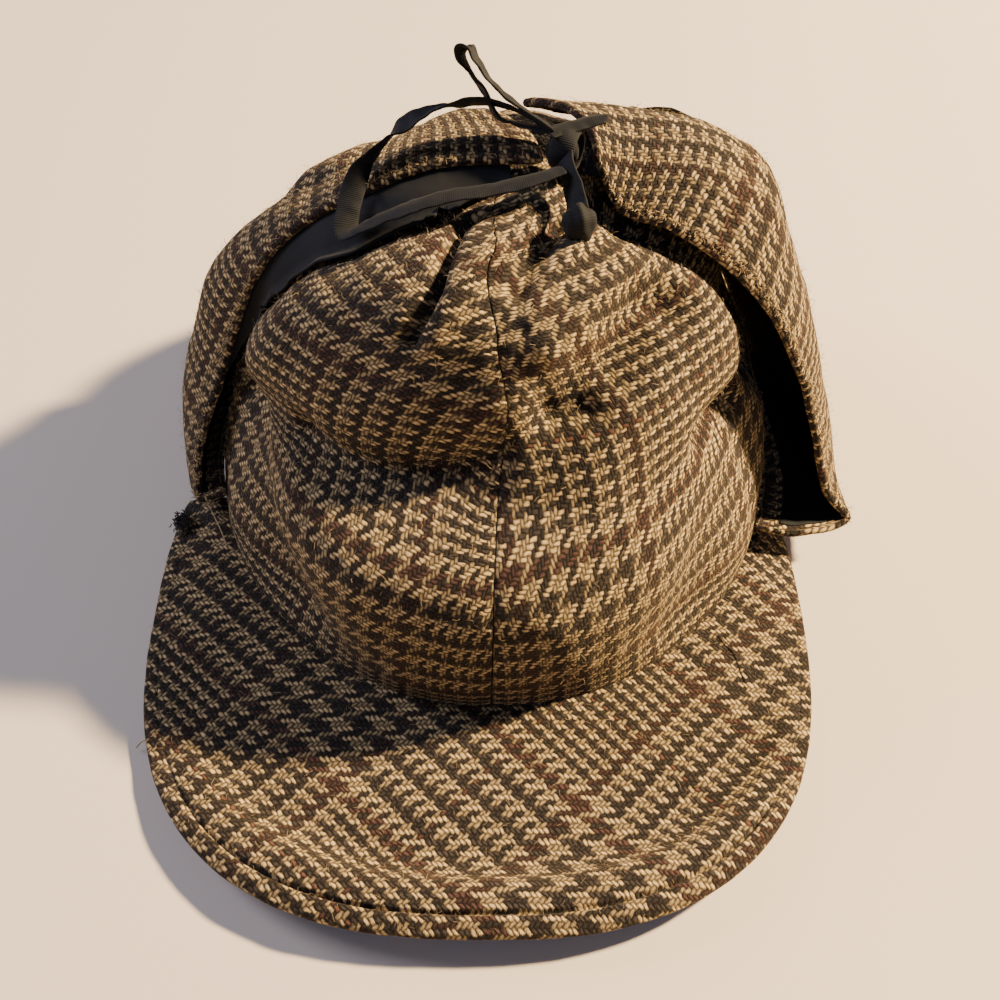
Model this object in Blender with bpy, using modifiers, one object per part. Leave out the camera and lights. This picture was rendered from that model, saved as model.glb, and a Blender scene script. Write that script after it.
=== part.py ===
"""A tweed deerstalker hat with its ear flaps tied up over the crown, standing on a table.

Metres, +Z up. The front peak points along -Y and the hat rests on the crown's rim at z = 0.
Every shape below is worked out about the middle of the head opening, and HEAD_CENTRE then
puts that middle where the hat's own box is centred on the origin.
"""

import math
from collections import namedtuple

import bmesh
import bpy
from mathutils import Vector
from mathutils.bvhtree import BVHTree

# ---------------------------------------------------------------- driving dimensions
HEAD_CENTRE = (-0.0052, 0.0, 0.0)
PIECE_GAP = 0.0003
TWEED_WALL = 0.0022
FLAP_WALL = 0.0019
LINING_WALL = 0.0010
PEAK_WALL = 0.0036

RIM_HALF_WIDTH = 0.0880
RIM_HALF_DEPTH = 0.1020
CROWN_HEIGHT = 0.1185
CROWN_CORE = Vector((0.0, 0.0, 0.045))
CROWN_COLUMNS = 48

PEAK_HALF_WIDTH = 0.0980
PEAK_DEPTH = 0.0665
PEAK_WIDEST_Y = -0.0600
PEAK_ROUNDNESS = 2.58
PEAK_SKEW = 0.0035
PEAK_COLUMNS = 26

RIBBON_WIDTH = 0.0080
RIBBON_WALL = 0.0008

# The crown's rings from the rim to the top. Each is half an ellipse in front and half behind.
# Where the cloth has slumped, the front follows slumped_front instead of full_front.
Ring = namedtuple("Ring", "height half_width full_front slumped_front full_back")
CROWN_RINGS = (
    Ring(0.0000, 0.0880, 0.1020, 0.1020, 0.1020),
    Ring(0.0080, 0.0880, 0.1020, 0.1020, 0.1020),
    Ring(0.0220, 0.0870, 0.1035, 0.1040, 0.1030),
    Ring(0.0360, 0.0850, 0.1040, 0.1050, 0.1030),
    Ring(0.0460, 0.0825, 0.1025, 0.1040, 0.1015),
    Ring(0.0530, 0.0800, 0.0995, 0.0995, 0.0990),
    Ring(0.0580, 0.0780, 0.0965, 0.0920, 0.0965),
    Ring(0.0615, 0.0765, 0.0940, 0.0830, 0.0945),
    Ring(0.0645, 0.0757, 0.0915, 0.0750, 0.0925),
    Ring(0.0690, 0.0755, 0.0880, 0.0715, 0.0895),
    Ring(0.0770, 0.0740, 0.0805, 0.0710, 0.0835),
    Ring(0.0870, 0.0690, 0.0710, 0.0690, 0.0745),
    Ring(0.0960, 0.0620, 0.0610, 0.0615, 0.0630),
    Ring(0.1040, 0.0515, 0.0500, 0.0510, 0.0515),
    Ring(0.1100, 0.0400, 0.0405, 0.0415, 0.0430),
    Ring(0.1145, 0.0285, 0.0300, 0.0310, 0.0335),
    Ring(0.1172, 0.0155, 0.0165, 0.0170, 0.0195),
)

# How much of the slump there is at each turn from the front, in degrees, +X being positive.
SLUMP_BY_AZIMUTH = (
    (-110, 0.00), (-80, 0.80), (-50, 1.00), (-12, 1.00), (6, 0.75),
    (28, 0.45), (55, 0.65), (80, 0.60), (110, 0.00),
)

# Folds of the crown: a dent (or, with a negative depth, a ridge) along a path of points.
Fold = namedtuple("Fold", "name half_width depth path")
CROWN_FOLDS = (
    Fold("hollow under the left flap", 0.0165, 0.0190,
         ((-0.070, 0.010, 0.070), (-0.058, -0.002, 0.088), (-0.040, -0.006, 0.102), (-0.022, -0.002, 0.111))),
    Fold("hollow under the right flap", 0.0155, 0.0170,
         ((0.074, 0.002, 0.066), (0.068, -0.002, 0.084), (0.055, 0.001, 0.097), (0.038, 0.000, 0.108))),
    Fold("top sinks behind on the left", 0.0180, 0.0080, ((-0.052, 0.046, 0.086), (-0.026, 0.036, 0.102))),
    Fold("left lobe", 0.0110, -0.0045, ((-0.071, -0.030, 0.070), (-0.064, -0.036, 0.080))),
    Fold("crease at the left side", 0.0070, 0.0075, ((-0.080, -0.012, 0.052), (-0.074, -0.034, 0.056))),
    Fold("tight pleat left of the seam", 0.0035, 0.0065, ((-0.006, -0.027, 0.114), (-0.021, -0.052, 0.098))),
    Fold("ridge beside the pleat", 0.0080, -0.0030, ((-0.016, -0.024, 0.113), (-0.032, -0.046, 0.098))),
    Fold("valley down from the bow", 0.0050, 0.0045, ((0.006, -0.030, 0.112), (0.020, -0.016, 0.116))),
    Fold("right lobe", 0.0130, -0.0030, ((0.040, -0.030, 0.104), (0.062, -0.026, 0.088))),
    Fold("valley under the right lobe", 0.0100, 0.0050, ((0.012, -0.066, 0.084), (0.046, -0.044, 0.092))),
    Fold("crease at the right side", 0.0060, 0.0070, ((0.060, -0.047, 0.063), (0.072, -0.028, 0.060))),
)


def between(low, high, share):
    return low + (high - low) * share


def smooth_step(share):
    share = min(max(share, 0.0), 1.0)
    return share * share * (3.0 - 2.0 * share)


def from_table(table, value):
    """The second column of a two-column table at this value of the first, smoothly in between."""
    if value <= table[0][0]:
        return table[0][1]
    for (low, at_low), (high, at_high) in zip(table, table[1:]):
        if value <= high:
            return between(at_low, at_high, smooth_step((value - low) / (high - low)))
    return table[-1][1]


# ---------------------------------------------------------------- scene, materials, helpers
def clear_scene():
    for thing in list(bpy.data.objects):
        bpy.data.objects.remove(thing, do_unlink=True)


def new_collection(name):
    collection = bpy.data.collections.new(name)
    bpy.context.scene.collection.children.link(collection)
    return collection


def cloth_material(name, colour, roughness):
    material = bpy.data.materials.new(name)
    material.use_nodes = True
    shader = material.node_tree.nodes["Principled BSDF"]
    shader.inputs["Base Color"].default_value = (*colour, 1.0)
    shader.inputs["Roughness"].default_value = roughness
    shader.inputs["Metallic"].default_value = 0.0
    return material


def grid_mesh(rows, closed=False):
    """A mesh through rows of points, each row a ring if closed; a row of one point is a pole."""
    mesh = bmesh.new()
    grid = [[mesh.verts.new(point) for point in row] for row in rows]
    for lower, upper in zip(grid, grid[1:]):
        for column in range(len(lower) if closed else len(lower) - 1):
            after = (column + 1) % len(lower)
            corners = [lower[column], lower[after]]
            corners += [upper[0]] if len(upper) == 1 else [upper[after], upper[column]]
            mesh.faces.new(corners)
    mesh.normal_update()
    return mesh, grid


def surface_mesh(name, rows, closed=False):
    mesh, _ = grid_mesh(rows, closed)
    data = bpy.data.meshes.new(name)
    mesh.to_mesh(data)
    mesh.free()
    data.shade_smooth()
    return data


def sunk_rows(rows, depth):
    """The same rows moved in along their surface's normals."""
    mesh, grid = grid_mesh(rows)
    sunk = [[vertex.co - vertex.normal * depth for vertex in row] for row in grid]
    mesh.free()
    return sunk


def sheet_object(name, data, material, wall, collection, parent, offset=-1.0):
    """An open surface given its wall, which grows inwards unless offset says otherwise."""
    thing = bpy.data.objects.new(name, data)
    data.materials.append(material)
    thing.parent = parent
    collection.objects.link(thing)
    shell = thing.modifiers.new("wall", "SOLIDIFY")
    shell.thickness = wall
    shell.offset = offset
    return thing


# ---------------------------------------------------------------- crown
def crown_point(azimuth, ring):
    """A point of the crown's outer face: azimuth is in degrees from the front, towards +X."""
    turn = math.radians(azimuth)
    slump = from_table(SLUMP_BY_AZIMUTH, (azimuth + 180.0) % 360.0 - 180.0)
    in_front = math.cos(turn) >= 0.0
    depth = between(ring.full_front, ring.slumped_front, slump) if in_front else ring.full_back
    point = Vector((ring.half_width * math.sin(turn), -depth * math.cos(turn), ring.height))
    return folded(point)


def distance_to_path(point, path):
    distances = []
    for start, end in zip(path, path[1:]):
        run = Vector(end) - Vector(start)
        away = point - Vector(start)
        share = min(max(away.dot(run) / run.length_squared, 0.0), 1.0)
        distances.append((away - run * share).length)
    return min(distances)


def folded(point):
    inward = (CROWN_CORE - point).normalized()
    moved = point.copy()
    for fold in CROWN_FOLDS:
        share = distance_to_path(point, fold.path) / fold.half_width
        moved += inward * fold.depth * math.exp(-share * share)
    return moved


def crown_rows():
    rows = []
    for ring in CROWN_RINGS:
        turns = [360.0 * (column + 0.5) / CROWN_COLUMNS for column in range(CROWN_COLUMNS)]
        rows.append([crown_point(turn, ring) for turn in turns])
    rows.append([folded(Vector((0.0, 0.0, CROWN_HEIGHT)))])
    return rows


def quarter_cutter(name, side_x, side_y, collection, parent):
    """The quarter of space that one gore fills, half a gap clear of both seam planes."""
    reach = 0.2
    mesh = bmesh.new()
    bmesh.ops.create_cube(mesh, size=reach)
    middle = (reach + PIECE_GAP) / 2.0
    bmesh.ops.translate(mesh, vec=(side_x * middle, side_y * middle, reach / 4.0), verts=mesh.verts)
    data = bpy.data.meshes.new(name)
    mesh.to_mesh(data)
    mesh.free()
    cutter = bpy.data.objects.new(name, data)
    cutter.parent = parent
    cutter.hide_render = True
    cutter.display_type = "WIRE"
    collection.objects.link(cutter)
    return cutter


def build_crown(material, collection, cutters, parent):
    """Four gores cut from one dome, seamed at the front, the back and both sides."""
    rows = crown_rows()
    quarters = (("front_left", -1, -1), ("front_right", 1, -1), ("back_right", 1, 1), ("back_left", -1, 1))
    for name, side_x, side_y in quarters:
        data = surface_mesh("crown_gore_" + name, rows, closed=True)
        gore = sheet_object("crown_gore_" + name, data, material, TWEED_WALL, collection, parent)
        cut = gore.modifiers.new("seams", "BOOLEAN")
        cut.operation = "INTERSECT"
        cut.solver = "EXACT"
        cut.object = quarter_cutter("quarter_" + name, side_x, side_y, cutters, parent)


# ---------------------------------------------------------------- peaks
# Across a peak from its seam to its edge: how far out, and the top face's height in the middle
# of the peak and at its two ends.
PeakRow = namedtuple("PeakRow", "share middle_height end_height")
FRONT_PEAK_ROWS = (
    PeakRow(0.00, 0.0090, 0.0085),
    PeakRow(0.14, 0.0090, 0.0085),
    PeakRow(0.30, 0.0080, 0.0080),
    PeakRow(0.46, 0.0066, 0.0074),
    PeakRow(0.58, 0.0052, 0.0068),
    PeakRow(0.66, 0.0050, 0.0064),
    PeakRow(0.74, 0.0080, 0.0060),
    PeakRow(0.82, 0.0108, 0.0057),
    PeakRow(0.91, 0.0114, 0.0052),
    PeakRow(1.00, 0.0098, 0.0045),
)
REAR_PEAK_ROWS = (
    PeakRow(0.00, 0.0090, 0.0085),
    PeakRow(0.20, 0.0092, 0.0085),
    PeakRow(0.40, 0.0086, 0.0080),
    PeakRow(0.60, 0.0076, 0.0072),
    PeakRow(0.80, 0.0062, 0.0060),
    PeakRow(1.00, 0.0046, 0.0045),
)
PEAK_END_AZIMUTH = 76.0


def peak_edge(azimuth):
    """The peak's outer edge in plan, for an azimuth from -PEAK_END_AZIMUTH to PEAK_END_AZIMUTH."""
    turn = math.radians(90.0 * azimuth / PEAK_END_AZIMUTH * 1.16)
    sine = math.sin(turn)
    cosine = math.cos(turn)
    reach = RIM_HALF_DEPTH + PEAK_DEPTH + PEAK_WIDEST_Y
    x = PEAK_HALF_WIDTH * math.copysign(abs(sine) ** (2.0 / PEAK_ROUNDNESS), sine)
    y = PEAK_WIDEST_Y - reach * math.copysign(abs(cosine) ** (2.0 / PEAK_ROUNDNESS), cosine)
    return x - PEAK_SKEW, y


def peak_point(azimuth, row):
    turn = math.radians(azimuth)
    seam = PIECE_GAP
    inner_x = (RIM_HALF_WIDTH + seam) * math.sin(turn)
    inner_y = -(RIM_HALF_DEPTH + seam) * math.cos(turn)
    outer_x, outer_y = peak_edge(azimuth)
    side = smooth_step((abs(azimuth) - 12.0) / 45.0)
    height = between(row.middle_height, row.end_height, side)
    return Vector((between(inner_x, outer_x, row.share), between(inner_y, outer_y, row.share), height))


def build_peak(name, rows_table, facing, material, collection, parent):
    """facing is 1 for the front peak and -1 for the one behind, its copy turned half round."""
    rows = []
    for row in rows_table:
        points = []
        for column in range(PEAK_COLUMNS + 1):
            azimuth = between(-PEAK_END_AZIMUTH, PEAK_END_AZIMUTH, column / PEAK_COLUMNS)
            point = peak_point(azimuth, row)
            points.append(Vector((point.x * facing, point.y * facing, point.z)))
        rows.append(points[::-1])
    return sheet_object(name, surface_mesh(name, rows), material, PEAK_WALL, collection, parent)


# ---------------------------------------------------------------- ear flaps
# Sections of a flap from its sewn edge, out round the fold at the bottom, up the side and over
# the top to its tip. Each section is an arc from the front edge through the middle to the back edge.
FlapRow = namedtuple("FlapRow", "front middle back")
RIGHT_FLAP = (
    FlapRow((0.0815, -0.0400, 0.0155), (0.0887, 0.000, 0.0130), (0.0815, 0.0400, 0.0155)),
    FlapRow((0.0960, -0.0410, 0.0130), (0.0985, 0.000, 0.0085), (0.0885, 0.0420, 0.0130)),
    FlapRow((0.1125, -0.0350, 0.0145), (0.1055, 0.000, 0.0115), (0.0905, 0.0420, 0.0190)),
    FlapRow((0.1042, -0.0330, 0.0268), (0.1055, 0.002, 0.0300), (0.0850, 0.0430, 0.0340)),
    FlapRow((0.0930, -0.0300, 0.0520), (0.0990, 0.004, 0.0520), (0.0785, 0.0430, 0.0500)),
    FlapRow((0.0848, -0.0280, 0.0672), (0.0914, 0.008, 0.0748), (0.0705, 0.0430, 0.0640)),
    FlapRow((0.0750, -0.0255, 0.0835), (0.0827, 0.010, 0.0960), (0.0630, 0.0420, 0.0780)),
    FlapRow((0.0615, -0.0220, 0.0970), (0.0748, 0.012, 0.1138), (0.0540, 0.0400, 0.0920)),
    FlapRow((0.0450, -0.0180, 0.1095), (0.0580, 0.014, 0.1227), (0.0440, 0.0400, 0.1040)),
    FlapRow((0.0330, -0.0120, 0.1145), (0.0370, 0.016, 0.1240), (0.0270, 0.0380, 0.1130)),
    FlapRow((0.0270, -0.0005, 0.1225), (0.0220, 0.017, 0.1255), (0.0080, 0.0330, 0.1195)),
)
LEFT_FLAP = (
    FlapRow((-0.0848, -0.0290, 0.0150), (-0.0886, 0.004, 0.0130), (-0.0815, 0.0400, 0.0155)),
    FlapRow((-0.0925, -0.0300, 0.0130), (-0.0970, 0.004, 0.0085), (-0.0880, 0.0420, 0.0130)),
    FlapRow((-0.0945, -0.0280, 0.0165), (-0.1010, 0.005, 0.0130), (-0.0900, 0.0420, 0.0190)),
    FlapRow((-0.0920, -0.0185, 0.0320), (-0.1000, 0.012, 0.0340), (-0.0840, 0.0440, 0.0330)),
    FlapRow((-0.0850, -0.0090, 0.0480), (-0.0950, 0.017, 0.0515), (-0.0775, 0.0450, 0.0480)),
    FlapRow((-0.0765, -0.0050, 0.0660), (-0.0880, 0.017, 0.0697), (-0.0700, 0.0450, 0.0610)),
    FlapRow((-0.0660, -0.0070, 0.0840), (-0.0740, 0.017, 0.0858), (-0.0600, 0.0440, 0.0750)),
    FlapRow((-0.0525, -0.0085, 0.0985), (-0.0565, 0.016, 0.0990), (-0.0450, 0.0420, 0.0885)),
    FlapRow((-0.0335, -0.0090, 0.1115), (-0.0365, 0.013, 0.1120), (-0.0310, 0.0370, 0.0990)),
    FlapRow((-0.0125, -0.0060, 0.1190), (-0.0130, 0.012, 0.1213), (-0.0150, 0.0310, 0.1105)),
    FlapRow((0.0110, -0.0040, 0.1210), (0.0075, 0.009, 0.1238), (0.0010, 0.0230, 0.1185)),
)
FLAP_COLUMNS = 12
FLAP_STEPS = 2


def through_three(front, middle, back, share):
    """The parabola through three points, at shares 0, 0.5 and 1."""
    a = 2.0 * (share - 0.5) * (share - 1.0)
    b = -4.0 * share * (share - 1.0)
    c = 2.0 * share * (share - 0.5)
    return Vector(front) * a + Vector(middle) * b + Vector(back) * c


def catmull_rom(before, start, end, after, share):
    square = share * share
    cube = square * share
    return (start * 2.0 + (end - before) * share
            + (before * 2.0 - start * 5.0 + end * 4.0 - after) * square
            + (start * 3.0 - before - end * 3.0 + after) * cube) * 0.5


def flap_rows(table, columns, steps):
    """Rows of points over a flap, with this many steps between two of its sections."""
    sections = [[through_three(*row, column / columns) for column in range(columns + 1)] for row in table]
    padded = [sections[0]] + sections + [sections[-1]]
    rows = []
    for index in range(len(sections) - 1):
        around = padded[index:index + 4]
        for step in range(steps):
            share = step / steps
            rows.append([catmull_rom(*column, share) for column in zip(*around)])
    rows.append(sections[-1])
    return rows


def crown_tree():
    """The crown's outer face, for laying things on it."""
    points = []
    faces = []
    rows = crown_rows()
    for row in rows:
        points += row
    for band in range(len(rows) - 1):
        for column in range(CROWN_COLUMNS):
            after = (column + 1) % CROWN_COLUMNS
            below = band * CROWN_COLUMNS
            above = below + CROWN_COLUMNS
            if len(rows[band + 1]) == 1:
                faces.append((below + column, below + after, above))
            else:
                faces.append((below + column, below + after, above + after, above + column))
    return BVHTree.FromPolygons(points, faces)


def clear_of(tree, point, clearance):
    """The point itself, or where it has to move to so that it stands this clear of the crown."""
    for _ in range(4):
        nearest, normal, _, distance = tree.find_nearest(point)
        if (point - nearest).dot(normal) < 0.0:
            point = nearest + normal * clearance
        elif distance < clearance:
            point = nearest + (point - nearest).normalized() * clearance
    return point


def build_flap(side, table, outward, tweed, satin, tree, collection, parent):
    """outward is 1 for the flap at +X and -1 for the one at -X: the rows run so that the faces point out.

    The sewn edge lies against the crown, and from the fold on there is room for wall and lining.
    """
    rows = []
    for index, row in enumerate(flap_rows(table, FLAP_COLUMNS, FLAP_STEPS)):
        clearance = 1.2 * PIECE_GAP
        if index >= FLAP_STEPS:
            clearance += FLAP_WALL + LINING_WALL + 5.0 * PIECE_GAP
        rows.append([clear_of(tree, point, clearance) for point in row[::outward]])
    outer = surface_mesh("ear_flap_" + side, rows)
    sheet_object("ear_flap_" + side, outer, tweed, FLAP_WALL, collection, parent)
    lining_rows = sunk_rows(rows, FLAP_WALL + PIECE_GAP)[FLAP_STEPS + 2:-1]
    inner = surface_mesh("flap_lining_" + side, [row[1:-1] for row in lining_rows])
    sheet_object("flap_lining_" + side, inner, satin, LINING_WALL, collection, parent)


# ---------------------------------------------------------------- ribbons
# A ribbon's run: points along its middle, and the direction that its width lies in at each.
RibbonPoint = namedtuple("RibbonPoint", "middle side")
LOOP_UP = (
    RibbonPoint((0.0165, 0.0010, 0.1265), (0.0, 1.0, 0.0)),
    RibbonPoint((0.0080, 0.0060, 0.1295), (0.0, 1.0, 0.0)),
    RibbonPoint((0.0010, 0.0100, 0.1325), (0.0, 1.0, 0.0)),
    RibbonPoint((-0.0040, 0.0115, 0.1375), (0.0, 1.0, 0.0)),
    RibbonPoint((-0.0082, 0.0118, 0.1430), (0.0, 1.0, 0.0)),
    RibbonPoint((-0.0085, 0.0115, 0.1460), (0.0, 1.0, 0.0)),
    RibbonPoint((-0.0050, 0.0112, 0.1455), (0.0, 1.0, 0.0)),
    RibbonPoint((0.0010, 0.0110, 0.1400), (0.0, 1.0, 0.0)),
    RibbonPoint((0.0085, 0.0085, 0.1345), (0.0, 1.0, 0.0)),
    RibbonPoint((0.0180, 0.0050, 0.1300), (0.0, 1.0, 0.0)),
)
LOOP_LEFT = (
    RibbonPoint((0.0150, -0.0080, 0.1268), (0.0, 1.0, 0.00)),
    RibbonPoint((0.0030, -0.0040, 0.1285), (0.0, 1.0, 0.10)),
    RibbonPoint((-0.0070, 0.0010, 0.1302), (0.0, 0.95, 0.30)),
    RibbonPoint((-0.0170, 0.0030, 0.1292), (0.3, 0.80, 0.50)),
    RibbonPoint((-0.0250, 0.0010, 0.1265), (0.7, 0.60, 0.30)),
    RibbonPoint((-0.0315, -0.0060, 0.1225), (0.85, 0.40, 0.10)),
    RibbonPoint((-0.0360, -0.0135, 0.1170), (0.80, 0.45, -0.10)),
    RibbonPoint((-0.0385, -0.0200, 0.1125), (0.60, 0.60, -0.30)),
    RibbonPoint((-0.0370, -0.0225, 0.1115), (0.40, 0.80, -0.30)),
    RibbonPoint((-0.0330, -0.0215, 0.1135), (0.2, 0.90, -0.20)),
    RibbonPoint((-0.0240, -0.0190, 0.1170), (0.0, 0.95, -0.10)),
    RibbonPoint((-0.0120, -0.0165, 0.1195), (0.0, 0.95, -0.10)),
    RibbonPoint((0.0000, -0.0145, 0.1210), (0.0, 0.95, -0.10)),
    RibbonPoint((0.0112, -0.0130, 0.1220), (0.0, 0.95, -0.10)),
)
TAIL_FRONT = (
    RibbonPoint((0.0222, -0.0139, 0.1218), (1.0, 0.0, 0.0)),
    RibbonPoint((0.0225, -0.0170, 0.1211), (1.0, 0.0, 0.0)),
    RibbonPoint((0.0235, -0.0200, 0.1192), (1.0, 0.0, 0.0)),
    RibbonPoint((0.0243, -0.0228, 0.1167), (1.0, 0.0, 0.0)),
    RibbonPoint((0.0248, -0.0252, 0.1140), (1.0, 0.0, 0.0)),
)
TAIL_RIGHT = (
    RibbonPoint((0.0265, 0.0000, 0.1165), (1.0, -0.2, 0.0)),
    RibbonPoint((0.0280, 0.0090, 0.1160), (1.0, -0.2, 0.0)),
    RibbonPoint((0.0310, 0.0190, 0.1145), (1.0, -0.3, -0.1)),
    RibbonPoint((0.0335, 0.0280, 0.1100), (1.0, -0.3, -0.3)),
    RibbonPoint((0.0360, 0.0360, 0.1055), (1.0, -0.3, -0.5)),
    RibbonPoint((0.0380, 0.0425, 0.1035), (1.0, -0.4, -0.5)),
    RibbonPoint((0.0405, 0.0475, 0.1045), (0.8, -0.6, -0.6)),
    RibbonPoint((0.0445, 0.0480, 0.1070), (0.2, 0.7, -0.7)),
    RibbonPoint((0.0500, 0.0460, 0.1083), (0.0, 0.7, -0.7)),
    RibbonPoint((0.0560, 0.0450, 0.1070), (0.0, 0.7, -0.7)),
    RibbonPoint((0.0605, 0.0450, 0.1038), (0.0, 0.7, -0.7)),
)
RIBBON_RUNS = (("ribbon_loop_up", LOOP_UP), ("ribbon_loop_left", LOOP_LEFT),
               ("ribbon_tail_front", TAIL_FRONT), ("ribbon_tail_right", TAIL_RIGHT))
RIBBON_STEPS = 2
KNOT_CENTRE = (0.0185, -0.0030, 0.1218)
KNOT_SIZE = (0.0140, 0.0210, 0.0090)


def ribbon_rows(run):
    """The two edges of a ribbon along its run, as rows of points across it."""
    middles = [Vector(point.middle) for point in run]
    sides = [Vector(point.side) for point in run]
    rows = []
    for index in range(len(run) - 1):
        around = [max(index - 1, 0), index, index + 1, min(index + 2, len(run) - 1)]
        steps = RIBBON_STEPS if index < len(run) - 2 else RIBBON_STEPS + 1
        for step in range(steps):
            share = step / RIBBON_STEPS
            middle = catmull_rom(*(middles[near] for near in around), share)
            ahead = catmull_rom(*(middles[near] for near in around), share + 0.01) - middle
            side = sides[index].lerp(sides[index + 1], share)
            side = (side - ahead * (side.dot(ahead) / ahead.length_squared)).normalized()
            rows.append([middle - side * RIBBON_WIDTH / 2, middle + side * RIBBON_WIDTH / 2])
    return rows


def build_ribbons(material, collection, parent):
    for name, run in RIBBON_RUNS:
        data = surface_mesh(name, ribbon_rows(run))
        sheet_object(name, data, material, RIBBON_WALL, collection, parent, offset=0.0)
    knot = bpy.data.meshes.new("ribbon_knot")
    mesh = bmesh.new()
    bmesh.ops.create_uvsphere(mesh, u_segments=14, v_segments=8, radius=0.5)
    bmesh.ops.scale(mesh, vec=KNOT_SIZE, verts=mesh.verts)
    bmesh.ops.translate(mesh, vec=KNOT_CENTRE, verts=mesh.verts)
    mesh.to_mesh(knot)
    mesh.free()
    knot.shade_smooth()
    knot.materials.append(material)
    thing = bpy.data.objects.new("ribbon_knot", knot)
    thing.parent = parent
    collection.objects.link(thing)


# ---------------------------------------------------------------- the whole hat
def build_hat():
    clear_scene()
    collection = new_collection("deerstalker_hat")
    cutters = new_collection("cutters")
    centre = bpy.data.objects.new("head_centre", None)
    centre.location = HEAD_CENTRE
    collection.objects.link(centre)
    tweed = cloth_material("checked_wool_tweed", (0.16, 0.11, 0.06), 0.9)
    build_crown(tweed, collection, cutters, centre)
    build_peak("front_peak", FRONT_PEAK_ROWS, 1, tweed, collection, centre)
    build_peak("rear_peak", REAR_PEAK_ROWS, -1, tweed, collection, centre)
    satin = cloth_material("black_lining_satin", (0.012, 0.012, 0.014), 0.55)
    ribbon = cloth_material("black_ribbon", (0.014, 0.014, 0.015), 0.6)
    tree = crown_tree()
    build_flap("right", RIGHT_FLAP, 1, tweed, satin, tree, collection, centre)
    build_flap("left", LEFT_FLAP, -1, tweed, satin, tree, collection, centre)
    build_ribbons(ribbon, collection, centre)


build_hat()
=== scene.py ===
# %% [markdown]
# # A tweed deerstalker hat
# The hat stands on a pale table: a crown of four gores that has slumped in front, a peak in front
# and one behind, and two ear flaps folded up and tied over the top with a black ribbon bow.
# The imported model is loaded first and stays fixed. Most pieces below take the place of one of its
# nodes and repeat the sizes of its solids. The ribbon, the crown's front face and the flaps' front
# edges differ from them by a few millimetres, to follow the photograph more closely.

# %% Loading the frame
import math
from collections import namedtuple

import bmesh
import bpy
import numpy as np
from mathutils import Matrix, Vector, noise
from mathutils.bvhtree import BVHTree


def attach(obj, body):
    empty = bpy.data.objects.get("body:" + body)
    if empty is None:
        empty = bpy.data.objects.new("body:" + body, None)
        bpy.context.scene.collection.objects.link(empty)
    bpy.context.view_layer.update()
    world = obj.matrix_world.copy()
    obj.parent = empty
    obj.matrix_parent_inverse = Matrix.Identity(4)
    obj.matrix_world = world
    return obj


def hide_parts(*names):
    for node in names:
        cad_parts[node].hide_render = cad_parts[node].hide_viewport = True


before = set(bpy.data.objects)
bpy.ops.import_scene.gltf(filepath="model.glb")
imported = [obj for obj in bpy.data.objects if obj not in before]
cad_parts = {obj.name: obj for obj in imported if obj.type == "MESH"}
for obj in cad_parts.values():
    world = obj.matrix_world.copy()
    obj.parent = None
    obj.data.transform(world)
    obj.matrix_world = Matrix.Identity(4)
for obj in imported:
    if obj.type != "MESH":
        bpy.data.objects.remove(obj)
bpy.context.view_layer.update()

MM = 0.001                 # Blender counts in metres, the tables below in millimetres
HEAD_CENTRE = np.array((-5.2, 0.0, 0.0)) * MM      # the tables count from the middle of the crown


def put_in_scene(name, data):
    """An object with this mesh, camera or lamp."""
    thing = bpy.data.objects.new(name, data)
    bpy.context.scene.collection.objects.link(thing)
    return thing


print("nodes in the frame:", len(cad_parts))

# %% [markdown]
# ## The camera
# The view is from the front and well above, close enough for a strong perspective, and rolled a
# little. The camera is turned by a matrix of its own axes, because a roll is then one rotation of
# two of them.

# %% Camera
VIEW_AZIMUTH = math.radians(-1.1)
VIEW_ELEVATION = math.radians(48.3)
VIEW_ROLL = math.radians(1.6)
VIEW_DISTANCE = 0.385
VIEW_TARGET = Vector((0.002, -0.040, 0.027)) + Vector(HEAD_CENTRE)
LENS_MM, SENSOR_MM = 45.5, 36.0

away = Vector((math.sin(VIEW_AZIMUTH) * math.cos(VIEW_ELEVATION),
               -math.cos(VIEW_AZIMUTH) * math.cos(VIEW_ELEVATION),
               math.sin(VIEW_ELEVATION)))
level = (-away).cross(Vector((0.0, 0.0, 1.0))).normalized()
upright = level.cross(-away)
right = level * math.cos(VIEW_ROLL) + upright * math.sin(VIEW_ROLL)
up = upright * math.cos(VIEW_ROLL) - level * math.sin(VIEW_ROLL)
place = VIEW_TARGET + away * VIEW_DISTANCE
camera = put_in_scene("camera", bpy.data.cameras.new("camera"))
camera.data.lens = LENS_MM
camera.data.sensor_width = SENSOR_MM
camera.data.clip_start = 0.01
axes = [(right[i], up[i], away[i], place[i]) for i in range(3)]
camera.matrix_world = Matrix(axes + [(0, 0, 0, 1)])
bpy.context.scene.camera = camera
print("camera stands at", [round(value, 3) for value in place])

# %% [markdown]
# ## Cloth as a grid
# Every piece of cloth here is a grid of points, with rows going up it and columns going to the
# right as one looks at its outer face. One function closes such a grid into a sheet with a wall
# and a rounded rim. A Solidify modifier could give the wall, but its rim is square and repeats
# the weave of the edge, while here the weave runs on round the rim as it does on a turned edge.


# %% Helpers for curves and numbers
def unit(vectors):
    return vectors / np.maximum(np.linalg.norm(vectors, axis=-1, keepdims=True), 1e-12)


def through(points, where):
    """The smooth curve through these points (of any shape) at these positions along the list."""
    points = np.asarray(points, float)
    last = len(points) - 1
    index = np.clip(np.floor(where).astype(int), 0, last - 1)
    share = (where - index).reshape((-1,) + (1,) * (points.ndim - 1))
    before, start, end, after = (points[np.clip(index + step, 0, last)] for step in (-1, 0, 1, 2))
    return 0.5 * (2 * start + (end - before) * share
                  + (2 * before - 5 * start + 4 * end - after) * share ** 2
                  + (3 * start - before - 3 * end + after) * share ** 3)


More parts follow.
